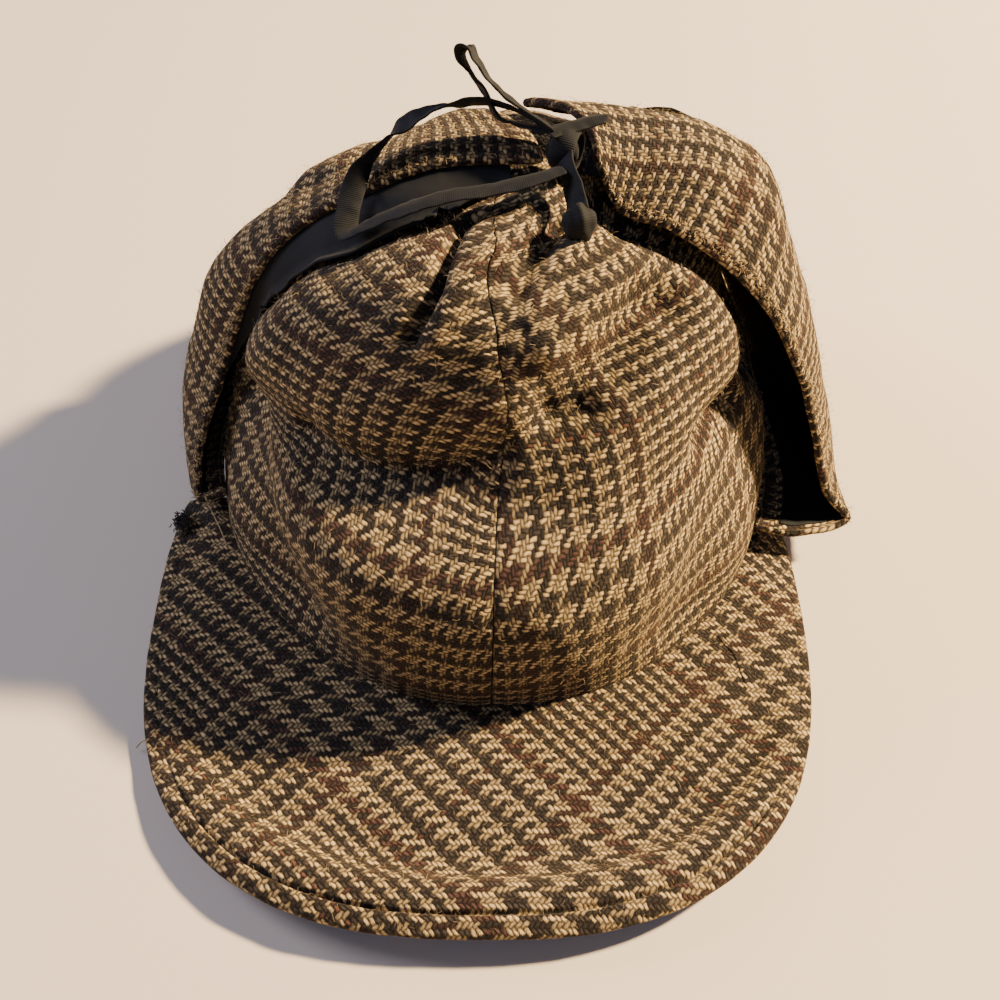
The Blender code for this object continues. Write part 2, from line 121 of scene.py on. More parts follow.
def smooth_step(share):
    share = np.clip(share, 0.0, 1.0)
    return share * share * (3.0 - 2.0 * share)


def from_table(table, value):
    """The table's second column at these values of its first, smoothly in between."""
    keys, results = np.array(table, float).T
    index = np.clip(np.searchsorted(keys, value, side="right") - 1, 0, len(keys) - 2)
    share = smooth_step((value - keys[index]) / (keys[index + 1] - keys[index]))
    return results[index] + (results[index + 1] - results[index]) * share


Swell = namedtuple("Swell", "height size seed")


def unevenness(points, swells):
    """Smooth random heights from swells of these sizes, which depend on place alone."""
    total = np.zeros(points.shape[:-1])
    for swell in swells:
        flat = points.reshape(-1, 3) / swell.size + swell.seed
        total += swell.height * np.array([noise.noise(at) for at in flat]).reshape(total.shape)
    return total


# %% Helpers for grids
def grid_normals(points):
    return unit(np.cross(np.gradient(points, axis=1), np.gradient(points, axis=0)))


def climb_of(points):
    """Metres climbed up the middle column of a grid."""
    rises = np.linalg.norm(np.diff(points[:, points.shape[1] // 2], axis=0), axis=-1)
    return np.concatenate([[0.0], np.cumsum(rises)])


def cloth_coordinates(points):
    """Metres of cloth across and up a grid, measured from its middle column."""
    middle = points.shape[1] // 2
    steps = np.linalg.norm(np.diff(points, axis=1), axis=-1)
    across = np.concatenate([np.zeros((len(points), 1)), np.cumsum(steps, axis=1)], axis=1)
    across -= across[:, middle:middle + 1]
    return np.stack([across, np.broadcast_to(climb_of(points)[:, None], across.shape)], axis=-1)


def grid_faces(rows, columns, first=0):
    """The faces of a grid whose points are numbered row by row from this number."""
    numbers = np.arange(first, first + rows * columns).reshape(rows, columns)
    corners = numbers[:-1, :-1], numbers[:-1, 1:], numbers[1:, 1:], numbers[1:, :-1]
    return np.stack(corners, axis=-1).reshape(-1, 4)


def joined_grids(grids):
    """The points and the faces of several grids, as one list of each."""
    points, faces = [], []
    for grid in grids:
        faces += grid_faces(*grid.shape[:2], first=len(points)).tolist()
        points += grid.reshape(-1, 3).tolist()
    return points, faces


def border_of(rows, columns):
    """Row and column numbers round a grid's border, anticlockwise from the lower left."""
    along, climb = list(range(columns - 1)), list(range(rows - 1))
    top, last = rows - 1, columns - 1
    ring_rows = [0] * last + climb + [top] * last + [top - row for row in climb]
    ring_columns = along + [last] * top + [last - column for column in along] + [0] * top
    return np.array(ring_rows), np.array(ring_columns)


# %% Helpers for sheets
def sheet_shape(outer, coordinates, wall, bulge=1.0, rim_steps=6):
    """Points, faces and cloth of a closed sheet with this outer face and a rounded rim."""
    rows, columns = outer.shape[:2]
    normals = grid_normals(outer)
    border_rows, border_columns = border_of(rows, columns)
    near_rows = np.clip(border_rows, 1, rows - 2)
    near_columns = np.clip(border_columns, 1, columns - 2)
    edge = outer[border_rows, border_columns]
    facing = normals[border_rows, border_columns]
    outward = edge - outer[near_rows, near_columns]
    cloth_edge = coordinates[border_rows, border_columns]
    reach = np.maximum(np.linalg.norm(outward, axis=-1, keepdims=True), 1e-7)
    cloth_outward = (cloth_edge - coordinates[near_rows, near_columns]) / reach
    outward = unit(outward - facing * np.sum(outward * facing, axis=-1, keepdims=True))

    points = [outer.reshape(-1, 3), (outer - normals * wall).reshape(-1, 3)]
    cloth = [coordinates.reshape(-1, 2)] * 2
    border = border_rows * columns + border_columns
    rings = [border]
    for step in range(1, rim_steps):
        turn = math.pi * step / rim_steps
        points.append(edge + facing * (math.cos(turn) - 1.0) * wall / 2
                      + outward * math.sin(turn) * wall / 2 * bulge)
        cloth.append(cloth_edge + cloth_outward * turn * wall / 2)
        rings.append(2 * rows * columns + np.arange(len(edge)) + (step - 1) * len(edge))
    rings.append(border + rows * columns)

    quads = grid_faces(rows, columns)
    faces = [quads, quads[:, ::-1] + rows * columns]
    for nearer, further in zip(rings, rings[1:]):
        corners = further, np.roll(further, -1), np.roll(nearer, -1), nearer
        faces.append(np.stack(corners, axis=-1))
    return np.concatenate(points), np.concatenate(faces).tolist(), np.concatenate(cloth)


def mesh_object(name, points, faces, coordinates, material):
    """An object whose UV map, cloth, holds the metres of cloth at each point."""
    mesh = bpy.data.meshes.new(name)
    mesh.from_pydata(points.tolist(), [], faces)
    corners = np.empty(len(mesh.loops), int)
    mesh.loops.foreach_get("vertex_index", corners)
    layer = mesh.uv_layers.new(name="cloth")
    layer.data.foreach_set("uv", coordinates[corners].astype(np.float32).ravel())
    mesh.materials.append(material)
    mesh.shade_smooth()
    return put_in_scene(name, mesh)


def cloth_sheet(name, outer, coordinates, wall, material, bulge=1.0):
    return mesh_object(name, *sheet_shape(outer, coordinates, wall, bulge), material)


def stands_for(piece, node):
    """The piece takes its CAD node's place in the model and rides on the hat's one body."""
    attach(piece, "root")
    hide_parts(node)
    return piece


# %% [markdown]
# ## Materials
# A material is a tree of nodes, and one small function adds a node with its settings and links.
# The arithmetic of the weave is long, so it is a table of steps, each a Math node with a name.


# %% Helpers for materials
def linear(hex_colour):
    """An sRGB hex colour as the linear numbers that a shader takes."""
    channels = [int(hex_colour[at:at + 2], 16) / 255 for at in (1, 3, 5)]
    return (*[c / 12.92 if c <= 0.04045 else ((c + 0.055) / 1.055) ** 2.4 for c in channels], 1.0)


def add_node(tree, kind, inputs=None, **settings):
    """Adds a node. An input is a value, or an output of another node to link."""
    node = tree.nodes.new(kind)
    for name, value in settings.items():
        setattr(node, name, value)
    for socket, value in (inputs or {}).items():
        if isinstance(value, bpy.types.NodeSocket):
            tree.links.new(value, node.inputs[socket])
        else:
            node.inputs[socket].default_value = value
    return node


def new_material(name, colour, uniform):
    """A material with its one shader and the values that are the same all over."""
    material = bpy.data.materials.new(name)
    material.use_nodes = True
    shader = material.node_tree.nodes["Principled BSDF"]
    shader.inputs["Base Color"].default_value = linear(colour)
    for socket, value in uniform.items():
        shader.inputs[socket].default_value = value
    return material, material.node_tree, shader


def work_out(tree, steps, known):
    """Adds the steps of a calculation: name, operation, then numbers or names of results."""
    for name, operation, *terms in steps:
        inputs = {slot: known.get(term, term) for slot, term in enumerate(terms)}
        known[name] = add_node(tree, "ShaderNodeMath", inputs, operation=operation).outputs[0]
    return known


# %% [markdown]
# ## The tweed
# The cloth is a wool twill, two threads over and two under, in a glen check: bands where four
# dark threads follow four tan ones, which make the large houndstooth, alternate with bands of two
# and two, which make the fine one. It could be a picture, but the rule is simple: number the
# threads both ways, see which one lies on top at a point, and take that thread's colour. The same
# numbers give the thread's rounded back for the relief.
# The relief also darkens the colour where it is low, as painted shade in the gaps between threads and on
# the lower warp floats.

# %% Tweed: the weave
THREAD = 1.05 * MM          # from one thread to the next
LARGE_BAND = 48.0           # threads: six repeats of four dark and four tan
CHECK_REPEAT = 88.0         # the large band and then ten repeats of two and two
WEAVE = (
    ("far_x", "MULTIPLY", "wander_x", 1.5),
    ("far_y", "MULTIPLY", "wander_y", 1.5),
    ("across_cloth", "MULTIPLY_ADD", "cloth_x", 1.0 / THREAD, "far_x"),
    ("up_cloth", "MULTIPLY_ADD", "cloth_y", 1.0 / THREAD, "far_y"),
    ("warp", "FLOOR", "across_cloth"),
    ("weft", "FLOOR", "up_cloth"),
    ("in_warp", "FRACT", "across_cloth"),
    ("in_weft", "FRACT", "up_cloth"),
    ("diagonal", "SUBTRACT", "weft", "warp"),
    ("phase", "FLOORED_MODULO", "diagonal", 4.0),
    ("warp_up", "LESS_THAN", "phase", 1.5),
    ("weft_up", "SUBTRACT", 1.0, "warp_up"),
    # the number of the thread on top
    ("warp_less_weft", "SUBTRACT", "warp", "weft"),
    ("thread", "MULTIPLY_ADD", "warp_less_weft", "warp_up", "weft"),
    # where the point is across that thread, and along the stretch of it that shows
    ("in_difference", "SUBTRACT", "in_warp", "in_weft"),
    ("over", "MULTIPLY_ADD", "in_difference", "warp_up", "in_weft"),
    ("from_middle", "SUBTRACT", "over", 0.5),
    ("phase_back", "SUBTRACT", 3.0, "phase"),
    ("warp_run", "ADD", "phase", "in_weft"),
    ("weft_run", "ADD", "phase_back", "in_warp"),
    ("run_difference", "SUBTRACT", "warp_run", "weft_run"),
    ("run", "MULTIPLY_ADD", "run_difference", "warp_up", "weft_run"),
    ("from_half", "MULTIPLY_ADD", "run", 0.5, -0.5),
    # the thread's rounded back, lower where the warp shows, and the twist of its strands
    ("middle_square", "MULTIPLY", "from_middle", "from_middle"),
    ("round_across", "MULTIPLY_ADD", "middle_square", -4.0, 1.0),
    ("half_square", "MULTIPLY", "from_half", "from_half"),
    ("round_along", "MULTIPLY_ADD", "half_square", -3.4, 1.0),
    ("back", "MULTIPLY", "round_across", "round_along"),
    ("lean", "MULTIPLY_ADD", "from_middle", 0.9, "from_half"),
    ("twist_angle", "MULTIPLY", "lean", 20.0),
    ("twist", "SINE", "twist_angle"),
    ("twisted", "MULTIPLY_ADD", "twist", 0.12, "back"),
    ("height", "MULTIPLY_ADD", "weft_up", 0.45, 0.55),
    ("relief", "MULTIPLY", "twisted", "height"),
    ("rough_relief", "MULTIPLY_ADD", "fibre", 0.5, "relief"),
    # the thread's colour by its number
    ("in_check", "FLOORED_MODULO", "thread", CHECK_REPEAT),
    ("large", "LESS_THAN", "in_check", LARGE_BAND),
    ("repeat", "MULTIPLY_ADD", "large", 4.0, 4.0),
    ("in_repeat", "FLOORED_MODULO", "in_check", "repeat"),
    ("half_repeat", "MULTIPLY_ADD", "repeat", 0.5, -0.5),
    ("dark", "LESS_THAN", "in_repeat", "half_repeat"),
    ("brown_first", "COMPARE", "in_check", 1.5, 2.0),
    ("brown_last", "COMPARE", "in_check", 41.5, 2.0),
    ("brown", "MAXIMUM", "brown_first", "brown_last"),
    ("brown_dark", "MULTIPLY", "brown", "dark"),
    ("rust", "COMPARE", "in_check", 67.0, 0.5),
    # how light it is: each thread has a tone of its own, and painted shade darkens the colour where the
    # relief is low, in the gaps between threads and on the lower warp floats
    ("ragged", "MULTIPLY_ADD", "fibre", 1.10, 0.42),
    ("deep_shade", "MULTIPLY_ADD", "relief", 1.45, -0.06),
    ("smooth_shade", "MAXIMUM", "deep_shade", 0.12),
    ("shade", "MULTIPLY", "smooth_shade", "ragged"),
)
OWN_SHADE = (("own", "MULTIPLY_ADD", "chance", 0.24, 0.88), ("value", "MULTIPLY", "own", "shade"))

# %% Tweed: the material
# wool is matt, with a soft sheen of fibres and a deep relief of threads
WANDERS, FIBRES, FLECKS = 420.0, 2200.0, 900.0      # of each kind of unevenness, in a metre
MIX_A, MIX_B = 6, 7         # the inputs of a colour mix, whose names its other kinds share
tweed, tree, shader = new_material(
    "wool_tweed_twill", "#8A6B46",
    {"Roughness": 0.92, "Sheen Weight": 0.10, "Sheen Roughness": 0.55,
     "Sheen Tint": linear("#D9B981"), "Specular IOR Level": 0.2})
cloth_map = add_node(tree, "ShaderNodeUVMap", uv_map="cloth").outputs[0]
split = add_node(tree, "ShaderNodeSeparateXYZ", {0: cloth_map}).outputs
wander, fibre, fleck = (
    add_node(tree, "ShaderNodeTexNoise", {"Vector": cloth_map, "Scale": scale, "Detail": detail}).outputs
    for scale, detail in ((WANDERS, 3.0), (FIBRES, 2.0), (FLECKS, 2.0)))
wander = add_node(tree, "ShaderNodeSeparateColor", {0: wander["Color"]}).outputs
known = work_out(tree, WEAVE, {"cloth_x": split[0], "cloth_y": split[1], "fibre": fibre[0],
                               "wander_x": wander[0], "wander_y": wander[1]})
chance = add_node(tree, "ShaderNodeTexWhiteNoise", {"W": known["thread"]}, noise_dimensions="1D")
known["chance"] = chance.outputs[0]
work_out(tree, OWN_SHADE, known)
for name, deep, pale in (("tan", "#866D45", "#CDB484"), ("black", "#1E1B18", "#3D352E")):
    shades = {0: fleck[0], MIX_A: linear(deep), MIX_B: linear(pale)}
    known[name] = add_node(tree, "ShaderNodeMix", shades, data_type="RGBA").outputs[2]
layers = {0: known["dark"], MIX_A: known["tan"], MIX_B: known["black"]}
base = add_node(tree, "ShaderNodeMix", layers, data_type="RGBA").outputs[2]
for threads, colour in (("brown_dark", "#422D26"), ("rust", "#53372B")):
    layers = {0: known[threads], MIX_A: base, MIX_B: linear(colour)}
    base = add_node(tree, "ShaderNodeMix", layers, data_type="RGBA").outputs[2]
# the colour times each thread's own tone and the painted shade of the gaps and warp floats
shaded = add_node(tree, "ShaderNodeMix", {0: 1.0, MIX_A: base, MIX_B: known["value"]},
                  data_type="RGBA", blend_type="MULTIPLY")
tree.links.new(shaded.outputs[2], shader.inputs["Base Color"])
bump = add_node(tree, "ShaderNodeBump",
                {"Height": known["rough_relief"], "Strength": 0.9, "Distance": 0.35 * MM})
tree.links.new(bump.outputs[0], shader.inputs["Normal"])
print("tweed: threads", THREAD / MM, "mm apart, the whole check repeats every",
      round(CHECK_REPEAT * THREAD / MM), "mm")

# %% [markdown]
# ## The lining and the ribbon
# The flaps are lined with a black satin, smooth and a little shiny. The ribbon is a narrow woven
# tape whose fine ribs run across it. Both are near black, so it is their sheen and their relief
# that the eye reads. The ribs are drawn from the metres along the ribbon.
# The satin's colour is darker than the lining's own black, as painted shade where it shows under the left
# flap's front edge.

# %% Satin and ribbon
# the satin is smooth, with soft creases; its colour is darker than the lining's own, as painted shade for
# the band that shows under the left flap's front edge
satin, tree, shader = new_material(
    "black_lining_satin", "#141515",
    {"Roughness": 0.8, "Sheen Weight": 0.02, "Sheen Roughness": 0.4, "Specular IOR Level": 0.2})
cloth_map = add_node(tree, "ShaderNodeUVMap", uv_map="cloth").outputs[0]
crease = add_node(tree, "ShaderNodeTexNoise", {"Vector": cloth_map, "Scale": 60.0, "Detail": 3.0})
bump = add_node(tree, "ShaderNodeBump",
                {"Height": crease.outputs[0], "Strength": 0.6, "Distance": 1.2 * MM})
tree.links.new(bump.outputs[0], shader.inputs["Normal"])

# the ribbon is matt, with fine ribs and a grain of threads
RIB = 0.55 * MM
RIBS = (("turns", "MULTIPLY", "along", 2.0 * math.pi / RIB), ("rib", "SINE", "turns"),
        ("relief", "MULTIPLY_ADD", "grain", 0.8, "rib"))
ribbon_black, tree, shader = new_material(
    "black_ribbed_ribbon", "#101111",
    {"Roughness": 0.75, "Sheen Weight": 0.03, "Sheen Roughness": 0.35, "Specular IOR Level": 0.22})
cloth_map = add_node(tree, "ShaderNodeUVMap", uv_map="cloth").outputs[0]
split = add_node(tree, "ShaderNodeSeparateXYZ", {0: cloth_map}).outputs
grain = add_node(tree, "ShaderNodeTexNoise", {"Vector": cloth_map, "Scale": 1500.0, "Detail": 2.0})
known = work_out(tree, RIBS, {"along": split[1], "grain": grain.outputs[0]})
bump = add_node(tree, "ShaderNodeBump",
                {"Height": known["relief"], "Strength": 0.4, "Distance": 0.08 * MM})
tree.links.new(bump.outputs[0], shader.inputs["Normal"])
print("ribbon: ribs every", RIB / MM, "mm")

# %% [markdown]
# ## The crown
# The crown is four gores of cloth sewn into a dome, which has slumped inwards over the peak and
# hangs in folds under its own weight. It could be sculpted or simulated, but the shape in the
# photograph is one certain lie of the cloth, so it is a table of rings from the rim to the top,
# and a table of folds that push it in or out along their paths.

# %% Crown: rings
Ring = namedtuple("Ring", "height half_width full_front slumped_front full_back")
CROWN_RINGS = (
    Ring(0.0, 88.0, 102.0, 102.0, 102.0),
    Ring(8.0, 88.0, 102.0, 102.0, 102.0),
    Ring(22.0, 87.0, 103.5, 104.0, 103.0),
    Ring(36.0, 85.0, 104.0, 105.0, 103.0),
    Ring(46.0, 82.5, 102.5, 104.0, 101.5),
    Ring(53.0, 80.0, 99.5, 99.5, 99.0),
    Ring(58.0, 78.0, 96.5, 92.0, 96.5),
    Ring(61.5, 76.5, 94.0, 83.0, 94.5),
    Ring(64.5, 75.7, 91.5, 70.5, 92.5),
    Ring(69.0, 75.5, 88.0, 66.8, 89.5),
    Ring(77.0, 74.0, 80.5, 64.8, 83.5),
    Ring(87.0, 69.0, 71.0, 62.4, 74.5),
    Ring(96.0, 62.0, 61.0, 59.4, 63.0),
    Ring(104.0, 51.5, 50.0, 56.0, 51.5),
    Ring(110.0, 40.0, 40.5, 49.0, 43.0),
    Ring(114.5, 28.5, 30.0, 37.0, 33.5),
    Ring(117.2, 15.5, 16.5, 19.5, 19.5),
    Ring(118.5, 0.1, 0.1, 0.1, 0.1),
)
SLUMP_BY_AZIMUTH = (        # degrees from the front, and the share of the slump there
    (-180, 0.00), (-110, 0.00), (-80, 0.80), (-50, 1.00), (-12, 1.00), (6, 0.75),
    (28, 0.45), (55, 0.65), (80, 0.60), (110, 0.00), (180, 0.00),
)
print("crown:", CROWN_RINGS[-1].height, "mm high")

# %% Crown: folds
# a fold pushes the cloth in by its depth, or out if that is negative, along a path
Fold = namedtuple("Fold", "name half_width depth path")
CROWN_FOLDS = (
    Fold("hollow under the left flap", 16.5, 19.0,
         ((-70, 10, 70), (-58, -2, 88), (-40, -6, 102), (-22, -2, 111))),
    Fold("hollow under the right flap", 15.5, 17.0,
         ((74, 2, 66), (68, -2, 84), (55, 1, 97), (38, 0, 108))),
    Fold("top sinks behind on the left", 18.0, 8.0, ((-52, 46, 86), (-26, 36, 102))),
    Fold("left lobe", 11.0, -4.5, ((-71, -30, 70), (-64, -36, 80))),
    Fold("crease at the left side", 7.0, 7.5, ((-80, -12, 52), (-74, -34, 56))),
    Fold("right lobe", 13.0, -3.0, ((40, -30, 104), (62, -26, 88))),
    Fold("crease at the right side", 6.0, 7.0, ((60, -47, 63), (72, -28, 60))),
    Fold("lower wall leans in on the left", 20.0, 9.5,
         ((-60, -76, 16), (-69, -64, 30), (-74, -45, 44), (-79, -25, 48))),
    Fold("lower wall leans in on the right", 20.0, 5.5,
         ((58, -78.7, 19.4), (63, -69.4, 44.1), (74.4, -41.3, 51.3))),
)
# a crease's path need not lie on the cloth: it is seen from the crown's core
CROWN_CREASES = (
    Fold("pleat left of the seam", 1.9, 7.5,
         ((-3.9, -18.1, 115.4), (-7.5, -21.5, 114.9), (-13.4, -40.2, 107.3), (-21.4, -49.2, 99.1))),
    Fold("ridge right of the pleat", 3.8, -2.2, ((-1, -30, 112), (-7.5, -42, 108), (-14.5, -51, 100))),
    Fold("crease under the belly", 4.4, 4.2,
         ((-55.7, -51, 66.3), (-46.1, -61.1, 64.3), (-27.9, -70.5, 64.7), (-10.8, -71.8, 70.4),
          (-2.5, -72.7, 77.6), (9.2, -66.5, 84.7), (24.2, -62.1, 86.4))),
    Fold("belly that hangs over", 10.0, -2.0,
         ((-48, -48, 79), (-34, -60, 82), (-20, -66, 85), (-4, -69, 92), (10, -64, 98))),
    Fold("ledge under the belly", 10.0, -2.8,
         ((-52, -66, 56), (-36, -80, 57), (-18, -88, 59), (4, -88, 64), (24, -80, 68))),
    Fold("valley left of the knob", 3.2, 4.0,
         ((16.3, -20.5, 111.1), (11, -31, 111), (5.6, -42, 109.8))),
    Fold("ridge beside that valley", 3.2, -1.8, ((20.5, -24, 111), (15, -37, 110.5), (9, -50, 106))),
    Fold("valley across the right gore", 8.5, 9.8,
         ((46, -35, 102), (40.8, -38.1, 103.3), (29, -53.1, 93.9), (13.9, -62.9, 89.5))),
    Fold("ridge above that valley", 5.0, -3.0, ((33, -30, 109), (22, -42, 105), (12, -53, 100))),
)
print("crown:", len(CROWN_FOLDS), "folds and", len(CROWN_CREASES), "creases")

# %% Crown: its surface
CROWN_CORE = np.array((0.0, 0.0, 45.0)) * MM
RIM_HELD, FOLDS_FREE = 6.0 * MM, 18.0 * MM          # the folds fade out between these heights
CROWN_SWELLS = (Swell(0.9 * MM, 21.0 * MM, 3.1), Swell(0.45 * MM, 7.5 * MM, 7.7))
SEAM_DIP, SEAM_DIP_WIDTH = 0.5 * MM, 2.4 * MM
PUCKER, PUCKER_SHARE = 5.5 * MM, 0.5                # from one to the next, and its share of the dip
# how far the front seam and the cloth beside it lean to the right at each height
SEAM_LEAN = ((0.0, 0.0), (55.0, 0.0), (88.0, 3.0), (104.0, 0.0), (113.0, -2.8), (118.5, 0.0))
LEAN_REACH = 18.0 * MM


def path_distance(points, path):
    nearest = np.inf
    for start, end in zip(path, path[1:]):
        run = end - start
        share = np.clip((points - start) @ run / (run @ run), 0.0, 1.0)[..., None]
        nearest = np.minimum(nearest, np.linalg.norm(points - start - share * run, axis=-1))
    return nearest


def crown_shell(azimuths, rises, fallen=1.0):
    """The crown before its folds, for these degrees from the front (to +X) and ring positions."""
    rings = through(np.array(CROWN_RINGS) * MM, rises)
    height, half_width, full, slumped, behind = (column[:, None] for column in rings.T)
    turns = np.radians(azimuths)
    slump = fallen * from_table(SLUMP_BY_AZIMUTH, (azimuths + 180.0) % 360.0 - 180.0)
    depth = np.where(np.cos(turns) >= 0.0, full + (slumped - full) * slump, behind)
    return np.stack([half_width * np.sin(turns), -depth * np.cos(turns),
                     np.broadcast_to(height, depth.shape)], axis=-1)


def crown_surface(azimuths, rises):
    """The crown's outer face, with its folds, seams and small unevenness."""
    points = crown_shell(azimuths, rises)
    reach = np.linalg.norm(points - CROWN_CORE, axis=-1)
    inward = unit(CROWN_CORE - points)
    push = unevenness(points, CROWN_SWELLS)
    for fold in CROWN_FOLDS + CROWN_CREASES:
        path = np.array(fold.path) * MM
        if fold in CROWN_CREASES:
            away_from_path = path_distance(-inward, unit(path - CROWN_CORE)) * reach
        else:
            away_from_path = path_distance(points, path)
        push += fold.depth * MM * np.exp(-(away_from_path / (fold.half_width * MM)) ** 2)
    push *= smooth_step((points[..., 2] - RIM_HELD) / (FOLDS_FREE - RIM_HELD))
    radius = np.linalg.norm(points[..., :2], axis=-1)
    from_seam = np.radians(np.abs((azimuths + 45.0) % 90.0 - 45.0)) * radius / SEAM_DIP_WIDTH
    pucker = 1.0 + PUCKER_SHARE * np.sin((points[..., 2] - radius) * 2.0 * math.pi / PUCKER)
    push += SEAM_DIP * pucker * np.exp(-from_seam * from_seam)
    points = points + inward * push[..., None]
    near_seam = np.exp(-(points[..., 0] / LEAN_REACH) ** 2) * smooth_step(-points[..., 1] / LEAN_REACH)
    points[..., 0] += from_table(SEAM_LEAN, points[..., 2] / MM) * MM * near_seam
    return points


# %% [markdown]
# ## The four gores
# Each gore covers a quarter turn. Its weave is laid out as it was cut from flat cloth: where the
# dome is upright the rows of threads follow the rings, and towards the top they run straight
# across. Across the gore it is laid on the crown as it was before it slumped, so that the columns
# of the check gather where the crown has slumped. The gores are pushed apart by half a seam, so
# that their rounded edges meet in a groove.

# %% Crown: gores
TWEED_WALL = 2.2 * MM
SEAM, SEAM_ROUND = 0.30 * MM, 0.27
GORE_ROWS, GORE_COLUMNS = 150, 120
CLOSING_BLUR = 25           # rows over which the weave's arcs change
Gore = namedtuple("Gore", "name first_azimuth side_x side_y cloth_x cloth_y")
GORES = (
    Gore("front_left", 270.0, -1, -1, -3.4, -21.9),
    Gore("front_right", 0.0, 1, -1, 64.4, -21.9),
    Gore("back_right", 90.0, 1, 1, 30.0, -21.9),
    Gore("back_left", 180.0, -1, 1, 50.0, -21.9),
)
PLAIN_AZIMUTH = 150.0       # where the crown has no deep fold, so its rows are spaced there
even = np.linspace(0.0, len(CROWN_RINGS) - 1.0, 800)
climbed = climb_of(crown_surface(np.array([PLAIN_AZIMUTH]), even))
GORE_RISES = np.interp(np.linspace(0.0, climbed[-1], GORE_ROWS), climbed, even)


def gore_coordinates(points, azimuths, first_azimuth):
    """Metres of cloth on a flat gore, with arcs that straighten where the dome is upright."""
    full = crown_shell(azimuths, GORE_RISES, fallen=0.0)
    radius = np.linalg.norm(full[..., :2], axis=-1).mean(axis=1)
    closing = np.clip(-np.gradient(radius, climb_of(full)), 0.0, 1.0)
    padded = np.pad(closing, CLOSING_BLUR // 2, mode="edge")
    closing = np.convolve(padded, np.ones(CLOSING_BLUR) / CLOSING_BLUR, mode="valid")[:, None]
    turn = np.radians(azimuths - first_azimuth - 45.0)[None, :]
    bend = closing * turn
    across = radius[:, None] * turn * np.sinc(bend / np.pi)
    lift = radius[:, None] * closing * turn ** 2 / 2 * np.sinc(bend / 2 / np.pi) ** 2
    return np.stack([across, climb_of(points)[:, None] + lift / 2], axis=-1)


crown_points = {}
for gore in GORES:
    azimuths = np.linspace(gore.first_azimuth, gore.first_azimuth + 90.0, GORE_COLUMNS)
    points = crown_surface(azimuths, GORE_RISES)
    cloth = gore_coordinates(points, azimuths, gore.first_azimuth)
    cloth = cloth + np.array((gore.cloth_x, gore.cloth_y)) * MM
    points = points + np.array((gore.side_x * SEAM, gore.side_y * SEAM, 0.0)) + HEAD_CENTRE
    crown_points[gore.name] = points
    piece = cloth_sheet("gore_" + gore.name, points, cloth, TWEED_WALL, tweed, bulge=SEAM_ROUND)
    stands_for(piece, "crown_gore_" + gore.name)
    print("gore", gore.name + ":", len(piece.data.polygons), "faces")

# %% [markdown]
# ## The peaks
# A peak is a stiff board between two layers of cloth. Its weave bends round with the crown's rim,
# and the front one turns up in a lip near its edge. A stitched line runs just inside the edge.

# %% Peaks: sizes
RIM_HALF_WIDTH, RIM_HALF_DEPTH = 88.0 * MM, 102.0 * MM
PEAK_HALF_WIDTH, PEAK_DEPTH, PEAK_WIDEST_Y = 98.0 * MM, 66.5 * MM, -60.0 * MM
PEAK_ROUNDNESS, PEAK_END_AZIMUTH, SIDE_SWEEP = 2.58, 76.0, 1.16
PEAK_SKEW, PEAK_WALL, PEAK_TUCK = 3.5 * MM, 3.4 * MM, 0.4 * MM
PEAK_ROWS, PEAK_COLUMNS = 103, 241
PEAK_SWELLS = (Swell(0.5 * MM, 17.0 * MM, 4.4), Swell(0.25 * MM, 6.0 * MM, 9.2))
BIAS = math.radians(46.0)   # the peak's cloth is cut on the bias
PEAK_CLOTH_START = np.array((-106.5, 121.4)) * MM
EDGE_BAND, EDGE_GROOVE = 4.8 * MM, 0.48 * MM
EDGE_ROLL, GROOVE_DEPTH = 0.9 * MM, 1.6 * MM
# at the sides the edge has this share of its roll and groove, which grow to all of it in front
SIDE_SHARE, GROWS_FROM, GROWS_OVER = 0.15, 118.0 * MM, 28.0 * MM
SIDE_START, SIDE_WIDTH = 12.0, 45.0         # degrees: from the middle's heights to the ends'
ROWS_BEFORE_LAST = 0.66                     # the share of the grid's rows before the last strip
PeakRow = namedtuple("PeakRow", "share middle_height end_height")
FRONT_PEAK_ROWS = (
    PeakRow(0.00, 9.0, 8.5),
    PeakRow(0.14, 9.0, 8.5),
    PeakRow(0.30, 8.0, 8.0),
    PeakRow(0.46, 6.6, 7.4),
    PeakRow(0.58, 5.0, 6.8),
    PeakRow(0.67, 4.3, 6.4),
    PeakRow(0.74, 6.6, 6.0),
    PeakRow(0.80, 11.0, 5.7),
    PeakRow(0.88, 12.0, 5.3),
    PeakRow(1.00, 9.8, 4.5),
)
REAR_PEAK_ROWS = (
    PeakRow(0.00, 9.0, 8.5),
    PeakRow(0.20, 9.2, 8.5),
    PeakRow(0.40, 8.6, 8.0),
    PeakRow(0.60, 7.6, 7.2),
    PeakRow(0.80, 6.2, 6.0),
    PeakRow(1.00, 4.6, 4.5),
)


